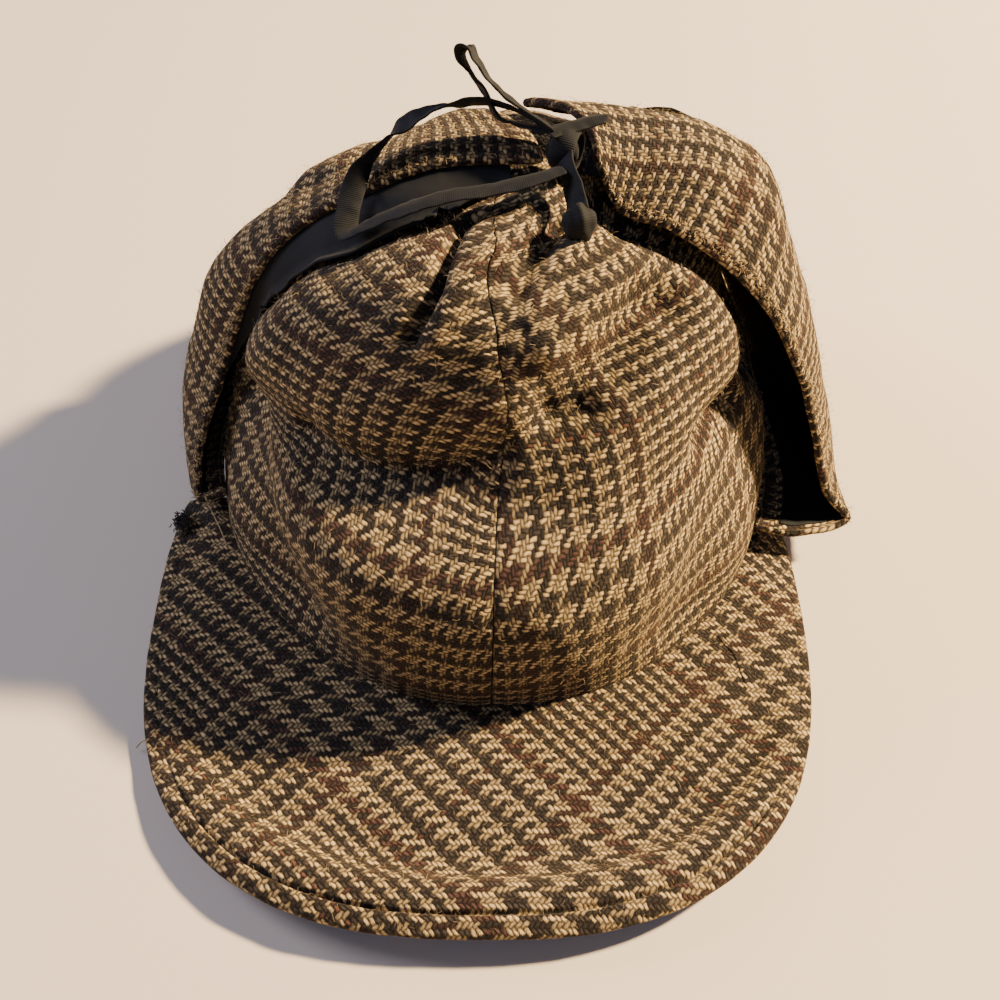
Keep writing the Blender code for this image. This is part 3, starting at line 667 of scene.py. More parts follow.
# %% Peaks
def peak_surface(rows_table, azimuths):
    """A peak's upper face before it is dressed, with rows from the rim to the outer edge."""
    turns = np.radians(azimuths)
    inner = np.stack([(RIM_HALF_WIDTH + PEAK_TUCK) * np.sin(turns),
                      -(RIM_HALF_DEPTH + PEAK_TUCK) * np.cos(turns)], axis=-1)
    round_turns = np.radians(90.0 * azimuths / PEAK_END_AZIMUTH * SIDE_SWEEP)
    sine, cosine = np.sin(round_turns), np.cos(round_turns)
    power = 2.0 / PEAK_ROUNDNESS
    reach = RIM_HALF_DEPTH + PEAK_DEPTH + PEAK_WIDEST_Y
    outer = np.stack([PEAK_HALF_WIDTH * np.sign(sine) * np.abs(sine) ** power - PEAK_SKEW,
                      PEAK_WIDEST_Y - reach * np.sign(cosine) * np.abs(cosine) ** power], axis=-1)
    last = len(rows_table) - 1.0
    # a third of the rows lie in the last strip, where the stitched line needs them
    where = np.interp(np.linspace(0.0, 1.0, PEAK_ROWS),
                      (0.0, ROWS_BEFORE_LAST, 1.0), (0.0, last - 1.0, last))
    share, middle_height, end_height = through(rows_table, where).T[..., None]
    side = smooth_step((np.abs(azimuths) - SIDE_START) / SIDE_WIDTH)
    height = (middle_height * (1.0 - side) + end_height * side) * MM
    flat = inner * (1.0 - share[..., None]) + outer * share[..., None]
    return np.concatenate([flat, height[..., None]], axis=-1)


def distance_from_edge(points):
    """Metres from the peak's outer edge, its last row, at each grid point."""
    steps = np.linalg.norm(np.diff(points[::-1, :, :2], axis=0), axis=-1)
    return np.concatenate([np.zeros((1, points.shape[1])), np.cumsum(steps, axis=0)])[::-1]


def dress_peak(points):
    """Adds the stitched edge, the seam's roll and the small unevenness to a peak's upper face."""
    from_edge = distance_from_edge(points)
    groove = np.exp(-((from_edge - EDGE_BAND) / EDGE_GROOVE) ** 2)
    roll = np.exp(-((from_edge - EDGE_BAND / 2) / (EDGE_BAND / 2.2)) ** 2)
    in_front = smooth_step((-points[..., 1] - GROWS_FROM) / GROWS_OVER)
    strength = SIDE_SHARE + (1.0 - SIDE_SHARE) * in_front
    swell = unevenness(points, PEAK_SWELLS)
    points = points.copy()
    points[..., 2] += swell + strength * (EDGE_ROLL * roll - GROOVE_DEPTH * groove)
    return points


bias_turn = np.array(((math.sin(BIAS), -math.cos(BIAS)), (math.cos(BIAS), math.sin(BIAS))))
azimuths = np.linspace(-PEAK_END_AZIMUTH, PEAK_END_AZIMUTH, PEAK_COLUMNS)
edge_lines, peak_points = {}, {}
for name, rows_table, facing in (("front", FRONT_PEAK_ROWS, 1.0), ("rear", REAR_PEAK_ROWS, -1.0)):
    dressed = dress_peak(peak_surface(rows_table, azimuths))
    nearest = np.argmin(np.abs(distance_from_edge(dressed) - EDGE_BAND)[::-1], axis=0)
    points = dressed[::-1]
    cloth = points[..., :2] @ bias_turn.T + PEAK_CLOTH_START
    points = points * (facing, facing, 1.0) + HEAD_CENTRE
    edge_lines[name] = points[nearest, np.arange(PEAK_COLUMNS)]
    peak_points[name] = points
    piece = cloth_sheet(name + "_peak_tweed", points, cloth, PEAK_WALL, tweed)
    stands_for(piece, name + "_peak")
print("peaks: 2, each with a stitched line", EDGE_BAND / MM, "mm inside its edge")

# %% [markdown]
# ## The ear flaps
# A flap is sewn on above the rim, turns up at the bottom fold and lies over the crown to its tip.
# Sections across it, from the front edge through the middle to the back edge, give its sweep. It
# is then kept clear of the crown. The black lining is a thinner sheet on its inner face.

# %% Ear flaps: sections
FlapRow = namedtuple("FlapRow", "front middle back")
RIGHT_FLAP = (
    FlapRow((81.5, -40, 15.5), (88.7, 0, 13), (81.5, 40, 15.5)),
    FlapRow((96, -41, 13), (98.5, 0, 8.5), (88.5, 42, 13)),
    FlapRow((112.5, -35, 14.5), (105.5, 0, 11.5), (90.5, 42, 19)),
    FlapRow((104.2, -33, 26.8), (105.5, 2, 30), (85, 43, 34)),
    FlapRow((95.5, -29, 52.5), (99, 4, 52), (78.5, 43, 50)),
    FlapRow((88.8, -26.5, 69), (91.4, 8, 74.8), (70.5, 43, 64)),
    FlapRow((79.2, -23.5, 85.5), (82.7, 10, 96), (63, 42, 78)),
    FlapRow((65.5, -20, 99.5), (74.8, 12, 113.8), (54, 40, 92)),
    FlapRow((47.5, -16.5, 111.5), (58, 14, 122.7), (44, 40, 104)),
    FlapRow((33, -12, 114.5), (37, 16, 124), (27, 38, 113)),
    FlapRow((27, -0.5, 122.5), (22, 17, 125.5), (8, 33, 119.5)),
)
LEFT_FLAP = (
    FlapRow((-84.8, -29, 15), (-88.6, 4, 13), (-81.5, 40, 15.5)),
    FlapRow((-92.5, -30, 13), (-97, 4, 8.5), (-88, 42, 13)),
    FlapRow((-94.5, -28, 16.5), (-101, 5, 13), (-90, 42, 19)),
    FlapRow((-92, -18.5, 32), (-100, 12, 34), (-84, 44, 33)),
    FlapRow((-85, -9, 48), (-95, 17, 51.5), (-77.5, 45, 48)),
    FlapRow((-76.5, -5, 66), (-88, 17, 69.7), (-70, 45, 61)),
    FlapRow((-66, -7, 84), (-74, 17, 85.8), (-60, 44, 75)),
    FlapRow((-52.5, -8.5, 98.5), (-56.5, 16, 99), (-45, 42, 88.5)),
    FlapRow((-33.5, -9, 111.5), (-36.5, 13, 112), (-31, 37, 99)),
    FlapRow((-12.5, -6, 119), (-13, 12, 121.3), (-15, 31, 110.5)),
    FlapRow((11, -4, 121), (7.5, 9, 123.8), (1, 23, 118.5)),
)
# how far the tweed's front edge draws back at each row, as a share of the flap's width, and how far
# the lining's does: less than nothing where the lining hangs out over the crown
NOT_DRAWN = (0.0,) * len(RIGHT_FLAP)
LEFT_DRAWN = (0.0, 0.0, 0.0, 0.0, 0.0, 0.03, 0.10, 0.17, 0.17, 0.15, 0.10)
LEFT_LINING = (0.0, 0.0, 0.0, 0.0, -0.03, -0.08, -0.16, -0.24, -0.28, -0.20, -0.08)

# %% Ear flaps
FLAP_WALL, LINING_WALL, LINING_BITE = 2.6 * MM, 0.8 * MM, 0.3 * MM
FLAP_GRID_ROWS, FLAP_GRID_COLUMNS = 141, 81
LINING_ROWS, LINING_COLUMNS = slice(8, -6), slice(2, -2)
SEWN_GAP, FREE_GAP = 0.4 * MM, 4.6 * MM     # from the crown, before the fold and after it
FOLD_ROW, FOLD_ROWS = 10.0, 12.0
FLAP_SWELLS = (Swell(0.6 * MM, 16.0 * MM, 6.1), Swell(0.35 * MM, 6.0 * MM, 8.3))
DEEPEST_DIP = 0.3 * MM                      # how far a swell may take the flap's face inwards
FLAP_CLOTH_START = 20.0 * MM
crown_tree = BVHTree.FromPolygons(*joined_grids(crown_points.values()))


def clear_of_crown(point, clearance):
    point = Vector(point)
    for _ in range(4):
        nearest, normal, _, distance = crown_tree.find_nearest(point)
        if (point - nearest).dot(normal) < 0.0:
            point = nearest + normal * clearance
        elif distance < clearance:
            point = nearest + (point - nearest).normalized() * clearance
    return point


def flap_surface(table, facing, drawn):
    """The flap's outer face, with columns that run to the right as one looks at it."""
    where = np.linspace(0.0, len(table) - 1.0, FLAP_GRID_ROWS)
    sections = through(np.array(table, float) * MM, where)
    start = through(drawn, where)[:, None, None]
    share = start + (1.0 - start) * np.linspace(0.0, 1.0, FLAP_GRID_COLUMNS)[None, :, None]
    front, middle, back = (sections[:, at, None, :] for at in range(3))
    points = (front * 2.0 * (share - 0.5) * (share - 1.0) - middle * 4.0 * share * (share - 1.0)
              + back * 2.0 * share * (share - 0.5)) + HEAD_CENTRE
    if facing < 0:
        points = points[:, ::-1]
    risen = smooth_step((np.arange(FLAP_GRID_ROWS) - FOLD_ROW) / FOLD_ROWS)
    for row, gap in zip(points, SEWN_GAP + (FREE_GAP - SEWN_GAP) * risen):
        row[:] = [clear_of_crown(point, gap) for point in row]
    swell = np.maximum(unevenness(points, FLAP_SWELLS), -DEEPEST_DIP)
    return points + grid_normals(points) * swell[..., None]


flap_points = {}
for side, table, facing, drawn, lining_drawn in (("right", RIGHT_FLAP, 1, NOT_DRAWN, NOT_DRAWN),
                                                 ("left", LEFT_FLAP, -1, LEFT_DRAWN, LEFT_LINING)):
    whole = flap_surface(table, facing, lining_drawn)
    inner = whole - grid_normals(whole) * (FLAP_WALL - LINING_BITE)
    inner = inner[LINING_ROWS, LINING_COLUMNS]
    lining = cloth_sheet("lining_" + side, inner, cloth_coordinates(inner), LINING_WALL, satin)
    stands_for(lining, "flap_lining_" + side)
    points = flap_surface(table, facing, drawn)
    flap_points[side] = points
    flat = cloth_coordinates(points)
    piece = cloth_sheet("flap_" + side, points, flat + (FLAP_CLOTH_START * facing, 0.0), FLAP_WALL, tweed)
    stands_for(piece, "ear_flap_" + side)

# %% [markdown]
# ## The ribbon bow
# The ribbon is a flat tape, pulled narrower by its knots. Each run of it follows a smooth line
# through a few points, and at each point the tape's width lies in a given direction, which gives
# its turns and twists. The knots are small crumpled lumps, wrapped by one more turn of the tape.

# %% Ribbon bow: its runs
RibbonPoint = namedtuple("RibbonPoint", "middle side")


def ribbon_run(*rows):
    """The points of a run. A row gives the tape's middle and the direction of its width."""
    return [RibbonPoint(np.array(middle) * MM, side) for middle, side in rows]


LOOP_UP = ribbon_run(
    ((15.0, 0.8, 129.0), (0.0, 0.90, -0.44)),
    ((8.0, 5.0, 131.7), (0.0, 0.90, -0.44)),
    ((2.1, 8.0, 134.5), (0.1, 0.90, -0.42)),
    ((-2.5, 9.0, 138.8), (0.15, 0.82, -0.50)),
    ((-5.7, 9.5, 143.6), (0.25, 0.76, -0.55)),
    ((-8.1, 10.0, 147.5), (0.35, 0.72, -0.52)),
    ((-10.0, 11.0, 146.6), (0.30, 0.72, -0.58)),
    ((-10.0, 11.5, 143.0), (0.20, 0.72, -0.64)),
    ((-7.3, 11.0, 138.1), (0.1, 0.72, -0.65)),
    ((-4.4, 10.0, 134.7), (0.0, 0.70, -0.71)),
    ((-2.4, 8.0, 131.2), (0.0, 0.72, -0.69)),
    ((0.3, 6.0, 128.8), (0.0, 0.80, -0.60)),
    ((6.5, 4.0, 128.4), (0.0, 0.90, -0.40)),
    ((14.0, 1.0, 128.4), (0.0, 0.90, -0.40)),
)
LOOP_LEFT = ribbon_run(
    ((14.5, 0.8, 128.6), (0.0, 0.80, -0.50)),
    ((8.0, 5.0, 130.8), (0.0, 0.80, -0.50)),
    ((1.3, 7.5, 132.4), (0.0, 0.75, -0.60)),
    ((-4.9, 8.5, 132.9), (0.0, 0.68, -0.73)),
    ((-10.2, 8.5, 132.2), (0.1, 0.67, -0.72)),
    ((-16.1, 8.0, 131.5), (0.4, 0.75, -0.20)),
    ((-21.5, 7.5, 129.3), (0.6, 0.65, 0.30)),
    ((-26.7, 6.5, 126.2), (0.64, 0.57, 0.51)),
    ((-30.8, 5.0, 123.0), (0.55, 0.70, 0.10)),
    ((-34.3, 3.0, 119.9), (0.45, 0.75, -0.40)),
    ((-37.6, 0.0, 116.5), (0.75, 0.55, -0.10)),
    ((-39.7, -4.0, 112.7), (0.92, 0.30, 0.20)),
    ((-40.9, -8.5, 109.4), (0.94, 0.26, 0.23)),
    ((-41.4, -12.5, 106.4), (0.85, 0.50, 0.10)),
    ((-40.0, -14.5, 106.0), (0.50, 0.85, 0.00)),
    ((-36.0, -15.0, 108.8), (0.10, 0.98, -0.12)),
    ((-26.3, -15.5, 114.2), (0.0, 0.98, -0.12)),
    ((-13.2, -15.2, 119.0), (0.0, 0.98, -0.12)),
    ((-2.4, -14.5, 120.7), (0.0, 0.98, -0.12)),
    ((8.0, -13.5, 123.0), (0.0, 0.98, -0.12)),
    ((16.5, -10.5, 124.6), (0.0, 0.95, -0.25)),
)
TAIL_FRONT = ribbon_run(
    ((17.2, -6.0, 125.0), (0.50, -0.40, 0.60)),
    ((17.8, -9.5, 124.2), (0.45, -0.45, 0.60)),
    ((18.6, -12.5, 123.0), (0.45, -0.50, 0.60)),
    ((19.4, -16.0, 122.2), (0.50, -0.50, 0.50)),
    ((20.0, -19.5, 121.2), (0.60, -0.50, 0.50)),
    ((20.5, -23.0, 120.0), (0.70, -0.40, 0.40)),
)
SHORT_END = ribbon_run(
    ((12.8, -1.0, 129.2), (0.0, 0.85, -0.10)),
    ((16.5, 1.0, 129.4), (0.0, 0.85, -0.10)),
    ((20.6, 2.5, 129.8), (0.0, 0.85, -0.10)),
    ((24.6, 3.5, 130.4), (0.0, 0.85, -0.10)),
    ((28.6, 4.0, 131.2), (0.0, 0.85, -0.10)),
)
TAIL_RIGHT = ribbon_run(
    ((26.5, 0.0, 116.5), (1.0, -0.2, 0.0)),
    ((28.0, 9.0, 116.0), (1.0, -0.2, 0.0)),
    ((31.0, 19.0, 114.5), (1.0, -0.3, -0.1)),
    ((33.5, 28.0, 110.0), (1.0, -0.3, -0.3)),
    ((36.0, 36.0, 105.5), (1.0, -0.3, -0.5)),
    ((38.0, 42.5, 103.5), (1.0, -0.4, -0.5)),
    ((40.5, 47.5, 104.5), (0.8, -0.6, -0.6)),
    ((44.5, 48.0, 107.0), (0.2, 0.7, -0.7)),
    ((50.0, 46.0, 108.3), (0.0, 0.7, -0.7)),
    ((56.0, 45.0, 107.0), (0.0, 0.7, -0.7)),
    ((60.5, 45.0, 103.8), (0.0, 0.7, -0.7)),
)

# %% Ribbon bow: the tape
RIBBON_WIDTH, RIBBON_WALL, RIBBON_CUP = 6.0 * MM, 0.6 * MM, 0.5 * MM
RIBBON_COLUMNS, ROWS_A_POINT = 9, 8
WORN_EDGES = (Swell(0.10, 4.0 * MM, 1.7),)          # as a share of the ribbon's width
CRUMPLES = (Swell(0.35 * MM, 3.0 * MM, 5.3),)


def ribbon_surface(run):
    """A tape along a run of points, slightly cupped across its width, with worn, uneven edges."""
    where = np.linspace(0.0, len(run) - 1.0, (len(run) - 1) * ROWS_A_POINT + 1)
    middles = through([point.middle for point in run], where)
    sides = through([point.side for point in run], where)
    ahead = unit(np.gradient(middles, axis=0))
    sides = unit(sides - ahead * np.sum(sides * ahead, axis=-1, keepdims=True))
    out = np.cross(sides, ahead)[:, None]
    share = np.linspace(-1.0, 1.0, RIBBON_COLUMNS)[None, :, None]
    width = RIBBON_WIDTH * (1.0 + unevenness(middles, WORN_EDGES))[:, None, None]
    points = (middles[:, None] + sides[:, None] * share * width / 2
              + out * (share ** 2 - 0.5) * RIBBON_CUP)
    return points + out * unevenness(points, CRUMPLES)[..., None] + HEAD_CENTRE


def tape_shape(points):
    """Points, faces and cloth of a tape with this outer face."""
    return sheet_shape(points, cloth_coordinates(points), RIBBON_WALL, rim_steps=4)


for name, run, far_end in (("loop_up", LOOP_UP, "object"), ("loop_left", LOOP_LEFT, "object"),
                           ("tail_right", TAIL_RIGHT, "bare")):
    points = ribbon_surface(run)
    piece = mesh_object("bow_" + name, *tape_shape(points), ribbon_black)
    stands_for(piece, "ribbon_" + name)

# the short end is cut ragged: its corners lie further back than its middle, one more than the other
CORNERS_BACK, CUT_SLANT = 0.55, 0.20        # as shares of the step between two of the run's points
points = ribbon_surface(SHORT_END)
tip = np.linspace(-1.0, 1.0, RIBBON_COLUMNS)[:, None]
last_step = points[-1] - points[-1 - ROWS_A_POINT]
points[-1] -= last_step * (CORNERS_BACK * tip ** 2 + CUT_SLANT * tip)
points[-2] = (points[-1] + points[-3]) / 2
piece = mesh_object("bow_short_end", *tape_shape(points), ribbon_black)
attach(piece, "root")

# %% Ribbon bow: the two knots
KNOT_CENTRE, KNOT_SIZE, KNOT_TURNS = (16.8, -1.0, 124.6), (8.8, 9.6, 10.8), 3.0
KNOB_CENTRE, KNOB_SIZE, KNOB_TURNS = (21.0, -24.7, 118.2), (8.8, 8.5, 10.8), 2.0
KNOT_CREASES = (Swell(0.10, 0.33, 2.9),)            # as shares of the knot's size
WINDING_HEIGHT, WINDING_SLANT = 0.07, 0.35
WRAP_WIDE, WRAP_HIGH, WRAP_SHIFT = 4.6, 5.0, 1.2    # half its width and height, and its shift right
WRAP_SLANT, WRAP_POINTS = 0.4, 17
WRAP = ribbon_run(*(
    ((KNOT_CENTRE[0] + WRAP_SHIFT + WRAP_SLANT * WRAP_WIDE * math.cos(turn),
      KNOT_CENTRE[1] + WRAP_WIDE * math.cos(turn),
      KNOT_CENTRE[2] + WRAP_HIGH * math.sin(turn)), (1.0, -WRAP_SLANT, 0.0))
    for turn in np.linspace(0.0, 2.0 * math.pi, WRAP_POINTS)))


def lump_shape(centre, size, turns_of_tape):
    """A crumpled lump: a fine ball pushed to size, with the creases of the tape wound on it."""
    ball = bmesh.new()
    bmesh.ops.create_icosphere(ball, subdivisions=5, radius=0.5)
    points = np.array([corner.co for corner in ball.verts])
    faces = [[corner.index for corner in face.verts] for face in ball.faces]
    ball.free()
    winding = np.sin(turns_of_tape * 2.0 * math.pi * (points[:, 0] + WINDING_SLANT * points[:, 2]))
    swell = 1.0 + WINDING_HEIGHT * winding + unevenness(points, KNOT_CREASES)
    points = (unit(points) * swell[:, None] * np.array(size) / 2 + centre) * MM
    across = points[:, 0] + WINDING_SLANT * points[:, 2]
    return points + HEAD_CENTRE, faces, np.stack([across, points[:, 1] + points[:, 2]], axis=-1)


def joined_shapes(shapes):
    """One list each of the points, faces and cloth of several shapes."""
    points, faces, cloth = [], [], []
    for shape_points, shape_faces, shape_cloth in shapes:
        faces += [[corner + len(points) for corner in face] for face in shape_faces]
        points += shape_points.tolist()
        cloth += shape_cloth.tolist()
    return np.array(points), faces, np.array(cloth)


knot = [lump_shape(KNOT_CENTRE, KNOT_SIZE, KNOT_TURNS), tape_shape(ribbon_surface(WRAP))]
drop = [tape_shape(ribbon_surface(TAIL_FRONT)), lump_shape(KNOB_CENTRE, KNOB_SIZE, KNOB_TURNS)]
for name, shapes in (("knot", knot), ("tail_front", drop)):
    piece = mesh_object("bow_" + name, *joined_shapes(shapes), ribbon_black)
    stands_for(piece, "ribbon_" + name)
print("bow: 6 pieces")

# %% [markdown]
# ## Stitches, wool fibres and loose threads
# What repeats or follows an edge is grown by Geometry Nodes, which keep its sizes as named inputs:
# a stitch all along the peaks' stitched lines, short bent fibres all over the tweed and thicker
# ones on the flaps' frayed front edges, and the loose threads, which follow paths of their own.
# Copies placed by a loop would do as well, but then each size is buried in the code that uses it.


# %% Helpers for Geometry Nodes
def new_group(name, sizes):
    """A group that takes a shape, a material and these sizes, and what comes out of its start."""
    group = bpy.data.node_groups.new(name, "GeometryNodeTree")
    group.interface.new_socket("shape", in_out="INPUT", socket_type="NodeSocketGeometry")
    group.interface.new_socket("material", in_out="INPUT", socket_type="NodeSocketMaterial")
    for size in sizes:
        group.interface.new_socket(size, in_out="INPUT", socket_type="NodeSocketFloat")
    group.interface.new_socket("shape", in_out="OUTPUT", socket_type="NodeSocketGeometry")
    return group, add_node(group, "NodeGroupInput").outputs


def wire_along(group, line, thickness, sides):
    """Makes a line into a closed wire of this thickness."""
    radius = add_node(group, "ShaderNodeMath", {0: thickness, 1: 0.5}, operation="MULTIPLY").outputs[0]
    outline = add_node(group, "GeometryNodeCurvePrimitiveCircle", {"Resolution": sides, "Radius": radius})
    return add_node(group, "GeometryNodeCurveToMesh",
                    {"Curve": line, "Profile Curve": outline.outputs[0], "Fill Caps": True}).outputs[0]


def end_group(group, shape, start):
    real = add_node(group, "GeometryNodeRealizeInstances", {0: shape})
    painted = add_node(group, "GeometryNodeSetMaterial",
                       {"Geometry": real.outputs[0], "Material": start["material"]})
    add_node(group, "NodeGroupOutput", {0: painted.outputs[0]})


def grown(name, source, group, material, sizes):
    """The plain piece that a group grows on a source. The source is then removed."""
    modifier = source.modifiers.new(name, "NODES")
    modifier.node_group = group
    values = dict(sizes, material=material)
    for socket in group.interface.items_tree:
        if socket.name in values:
            modifier[socket.identifier] = values[socket.name]
    bpy.context.view_layer.update()
    evaluated = source.evaluated_get(bpy.context.evaluated_depsgraph_get())
    mesh = bpy.data.meshes.new_from_object(evaluated)
    source.modifiers.remove(modifier)
    bpy.data.objects.remove(source)
    mesh.shade_smooth()
    piece = put_in_scene(name, mesh)
    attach(piece, "root")
    print(name + ":", len(mesh.polygons), "faces")


def bare_mesh(name, points, edges=(), faces=()):
    mesh = bpy.data.meshes.new(name)
    mesh.from_pydata(points, edges, faces)
    return put_in_scene(name, mesh)


def lines_through(paths):
    """A bare mesh of lines along these paths."""
    points, edges = [], []
    for path in paths:
        edges += [(len(points) + at, len(points) + at + 1) for at in range(len(path) - 1)]
        points += [list(point) for point in path]
    return bare_mesh("lines", points, edges=edges)


def faces_of(grids):
    """A bare open mesh of these grids' faces."""
    points, faces = joined_grids(grids)
    return bare_mesh("faces", points, faces=faces)


# %% Geometry Nodes: a row of stitches
stitching, start = new_group("row_of_stitches", ("spacing", "stitch length", "thread thickness"))
line = add_node(stitching, "GeometryNodeMeshToCurve", {0: start["shape"]})
dots = add_node(stitching, "GeometryNodeResampleCurve",
                {"Curve": line.outputs[0], "Length": start["spacing"]}, mode="LENGTH")
ahead = add_node(stitching, "GeometryNodeInputTangent")
facing = add_node(stitching, "FunctionNodeAlignRotationToVector", {"Vector": ahead.outputs[0]}, axis="X")
size = add_node(stitching, "ShaderNodeCombineXYZ",
                {0: start["stitch length"], 1: start["thread thickness"], 2: start["thread thickness"]})
stitch = add_node(stitching, "GeometryNodeMeshUVSphere", {"Segments": 6, "Rings": 4, "Radius": 0.5})
row = add_node(stitching, "GeometryNodeInstanceOnPoints",
               {"Points": dots.outputs[0], "Instance": stitch.outputs[0],
                "Rotation": facing.outputs[0], "Scale": size.outputs[0]})
end_group(stitching, row.outputs[0], start)

# %% Geometry Nodes: wool fibres
PLACE_SEED, LEAN_SEED, SIZE_SEED = 7, 11, 23
SHORTEST, LONGEST = 0.45, 1.25              # of the fibres, as a share of their named length
fibres, start = new_group("wool_fibres",
                          ("fibres per square metre", "fibre length", "fibre thickness", "lean"))
dots = add_node(fibres, "GeometryNodeDistributePointsOnFaces",
                {"Mesh": start["shape"], "Density": start["fibres per square metre"],
                 "Seed": PLACE_SEED})
chance = add_node(fibres, "FunctionNodeRandomValue",
                  {0: (-1.0, -1.0, -1.0), 1: (1.0, 1.0, 1.0), "Seed": LEAN_SEED},
                  data_type="FLOAT_VECTOR")
furthest = add_node(fibres, "ShaderNodeCombineXYZ", {0: start["lean"], 1: start["lean"], 2: math.pi})
lean = add_node(fibres, "ShaderNodeVectorMath", {0: chance.outputs[0], 1: furthest.outputs[0]},
                operation="MULTIPLY")
turned = add_node(fibres, "FunctionNodeEulerToRotation", {0: lean.outputs[0]})
facing = add_node(fibres, "FunctionNodeRotateRotation",
                  {0: dots.outputs["Rotation"], 1: turned.outputs[0]}, rotation_space="LOCAL")
bend = add_node(fibres, "GeometryNodeCurveQuadraticBezier",
                {"Resolution": 3, "Start": (0.0, 0.0, -0.15), "Middle": (0.0, 0.0, 0.45),
                 "End": (0.7, 0.0, 0.5)})
sized = add_node(fibres, "GeometryNodeTransform",
                 {"Geometry": bend.outputs[0], "Scale": start["fibre length"]})
fibre = wire_along(fibres, sized.outputs[0], start["fibre thickness"], 3)
own_size = add_node(fibres, "FunctionNodeRandomValue", {2: SHORTEST, 3: LONGEST, "Seed": SIZE_SEED},
                    data_type="FLOAT")
scattered = add_node(fibres, "GeometryNodeInstanceOnPoints",
                     {"Points": dots.outputs["Points"], "Instance": fibre,
                      "Rotation": facing.outputs[0], "Scale": own_size.outputs[1]})
end_group(fibres, scattered.outputs[0], start)

# %% Geometry Nodes: loose threads
threads, start = new_group("loose_threads", ("thread thickness",))
line = add_node(threads, "GeometryNodeMeshToCurve", {0: start["shape"]})
end_group(threads, wire_along(threads, line.outputs[0], start["thread thickness"], 5), start)

# %% Geometry Nodes: what they grow
# sewing thread is dull and nearly black, and loose wool is the tan of the light threads
dark_thread, _, _ = new_material("dark_sewing_thread", "#1B1815", {"Roughness": 0.8})
wool_fibre, _, _ = new_material("tan_wool_fibre", "#9C855E", {"Roughness": 0.9})
TAN_THREADS = (
    ((-93, -110.1, 6.2), (-94.8, -110.8, 5.2), (-96.2, -111.2, 4.2), (-98.1, -111, 2.5), (-99.7, -112, 1)),
    ((-90.6, -28.7, 9.5), (-88.5, -33, 9.8), (-85.5, -39, 10), (-82.8, -45.1, 9.8)),
)
DARK_THREADS = (
    ((66.7, -75.7, 9), (69, -79, 9.2), (71.5, -82.8, 8.6), (73.5, -87, 9), (74.8, -91.5, 8.6)),
)
FRAYED_CORNER = np.array((-98.5, -33.8, 8.0))       # where the left flap's corner has come apart
FRAYED_SPREAD, FRAYED_THREADS, FRAYED_SEED = (2.6, 3.4, 1.4), 190, 5
FRAYED_WAY, FRAYED_SHORTEST, FRAYED_LONGEST, FRAYED_BEND = (-0.3, 0.1, 0.2), 0.7, 1.8, 0.4
BARE_ROWS, FRAY_ROWS, FRAY_COLUMNS = 5, 20, 3       # rows with no fibres, or not frayed, at the rim
STITCH_SINK = 0.1 * MM
STEPS_A_POINT = 6


def smooth_paths(runs):
    return [through(np.array(run) * MM, np.linspace(0.0, len(run) - 1.0, STEPS_A_POINT * len(run)))
            + HEAD_CENTRE for run in runs]


grown("peak_stitches", lines_through([line - (0.0, 0.0, STITCH_SINK) for line in edge_lines.values()]),
      stitching, dark_thread,
      {"spacing": 3.4 * MM, "stitch length": 2.6 * MM, "thread thickness": 0.45 * MM})
grids = [*(points[BARE_ROWS:] for points in crown_points.values()),
         *peak_points.values(), *flap_points.values()]
grown("tweed_fibres", faces_of(grids), fibres, wool_fibre,
      {"fibres per square metre": 75000.0, "fibre length": 2.2 * MM, "fibre thickness": 0.09 * MM,
       "lean": 0.5})
edges = [flap_points["right"][FRAY_ROWS:, :FRAY_COLUMNS],
         flap_points["left"][FRAY_ROWS:, -FRAY_COLUMNS:]]
grown("frayed_edges", faces_of(edges), fibres, wool_fibre,
      {"fibres per square metre": 1.6e6, "fibre length": 1.7 * MM, "fibre thickness": 0.22 * MM,
       "lean": 1.3})
chooser = np.random.default_rng(FRAYED_SEED)
frayed = []
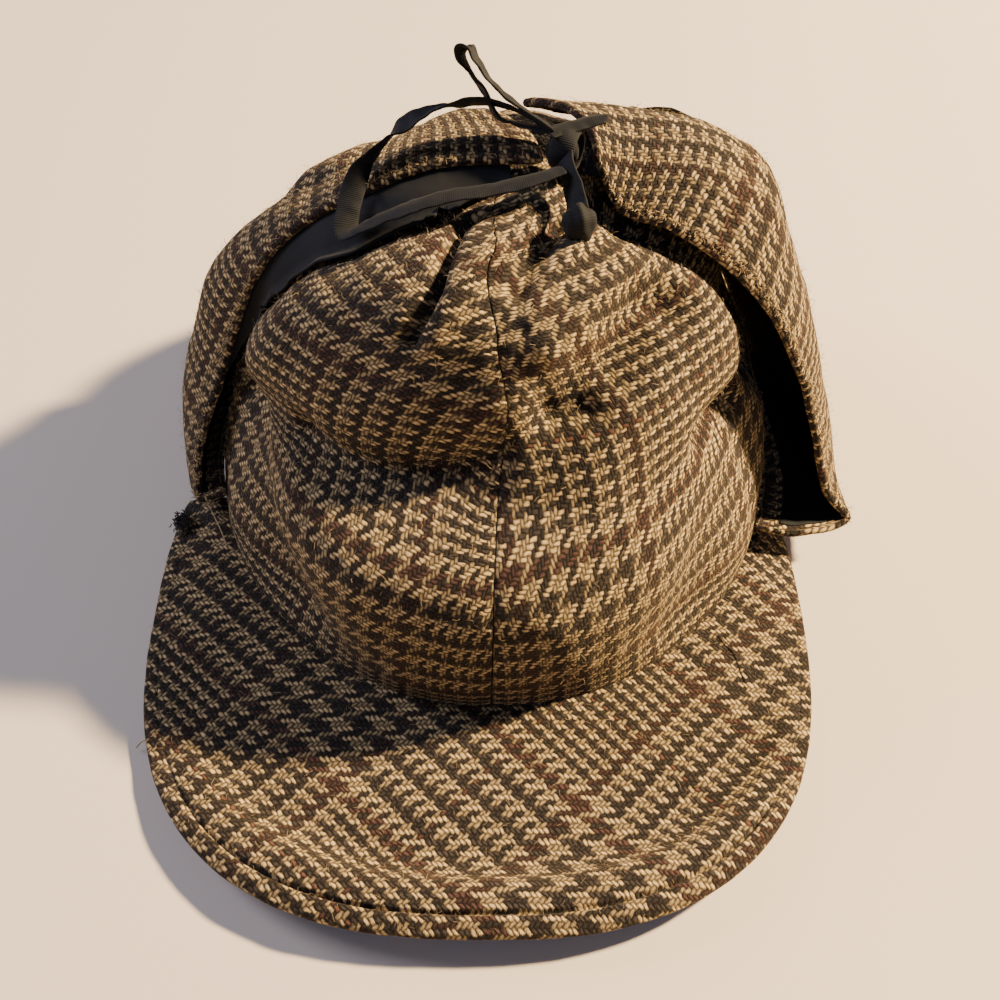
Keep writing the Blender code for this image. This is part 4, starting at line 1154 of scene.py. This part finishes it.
for _ in range(FRAYED_THREADS):
    root = FRAYED_CORNER + chooser.normal(0.0, 0.5, 3) * FRAYED_SPREAD
    outward = unit(chooser.uniform(-1.0, 1.0, 3) + FRAYED_WAY)
    outward = outward * chooser.uniform(FRAYED_SHORTEST, FRAYED_LONGEST)
    sideways = chooser.uniform(-FRAYED_BEND, FRAYED_BEND, 3)
    frayed.append((root, root + outward / 2 + sideways, root + outward))
for name, runs, material in (("stray_tan_threads", TAN_THREADS, wool_fibre),
                             ("stray_dark_threads", [*DARK_THREADS, *frayed], dark_thread)):
    grown(name, lines_through(smooth_paths(runs)), threads, material,
          {"thread thickness": 0.35 * MM})

# %% [markdown]
# ## The table and the light
# The table is a plain pale plane. A warm lamp stands high on the right and a little behind, so the
# shadow falls to the left. A cool soft light from the left and a little behind fills what the lamp
# leaves dark, and a weak blue one from the viewer's side reaches into the gaps beside the flaps.

# %% Table and light
HALF_TABLE = 2.0
corners = [(x * HALF_TABLE, y * HALF_TABLE, 0.0) for x, y in ((-1, -1), (1, -1), (1, 1), (-1, 1))]
table = bare_mesh("table", corners, faces=[(0, 1, 2, 3)])
# matt and pale, so that the hat's shadow reads
table_paint, _, _ = new_material("pale_matt_table", "#CBBFAC", {"Roughness": 0.75})
table.data.materials.append(table_paint)

Lamp = namedtuple("Lamp", "name direction distance size power colour")
LAMPS = (
    Lamp("warm_key", (0.74, 0.20, 0.64), 2.0, 0.15, 238.0, "#FFE0B4"),
    Lamp("cool_left", (-0.80, 0.26, 0.52), 1.5, 0.6, 21.0, "#D9D9F4"),
    Lamp("room_front", (0.03, -0.74, 0.67), 1.5, 0.5, 3.5, "#BCC8FF"),
)
for lamp in LAMPS:
    data = bpy.data.lights.new(lamp.name, "AREA")
    data.size = lamp.size
    data.energy = lamp.power
    data.color = linear(lamp.colour)[:3]
    towards = Vector(lamp.direction).normalized()
    thing = put_in_scene(lamp.name, data)
    thing.location = towards * lamp.distance
    thing.rotation_euler = towards.to_track_quat("Z", "Y").to_euler()
world = bpy.data.worlds.new("soft_room")
bpy.context.scene.world = world
world.use_nodes = True
room = world.node_tree.nodes["Background"].inputs
room["Color"].default_value = linear("#E2E0EE")
room["Strength"].default_value = 0.13
print("lamps:", [lamp.name for lamp in LAMPS])
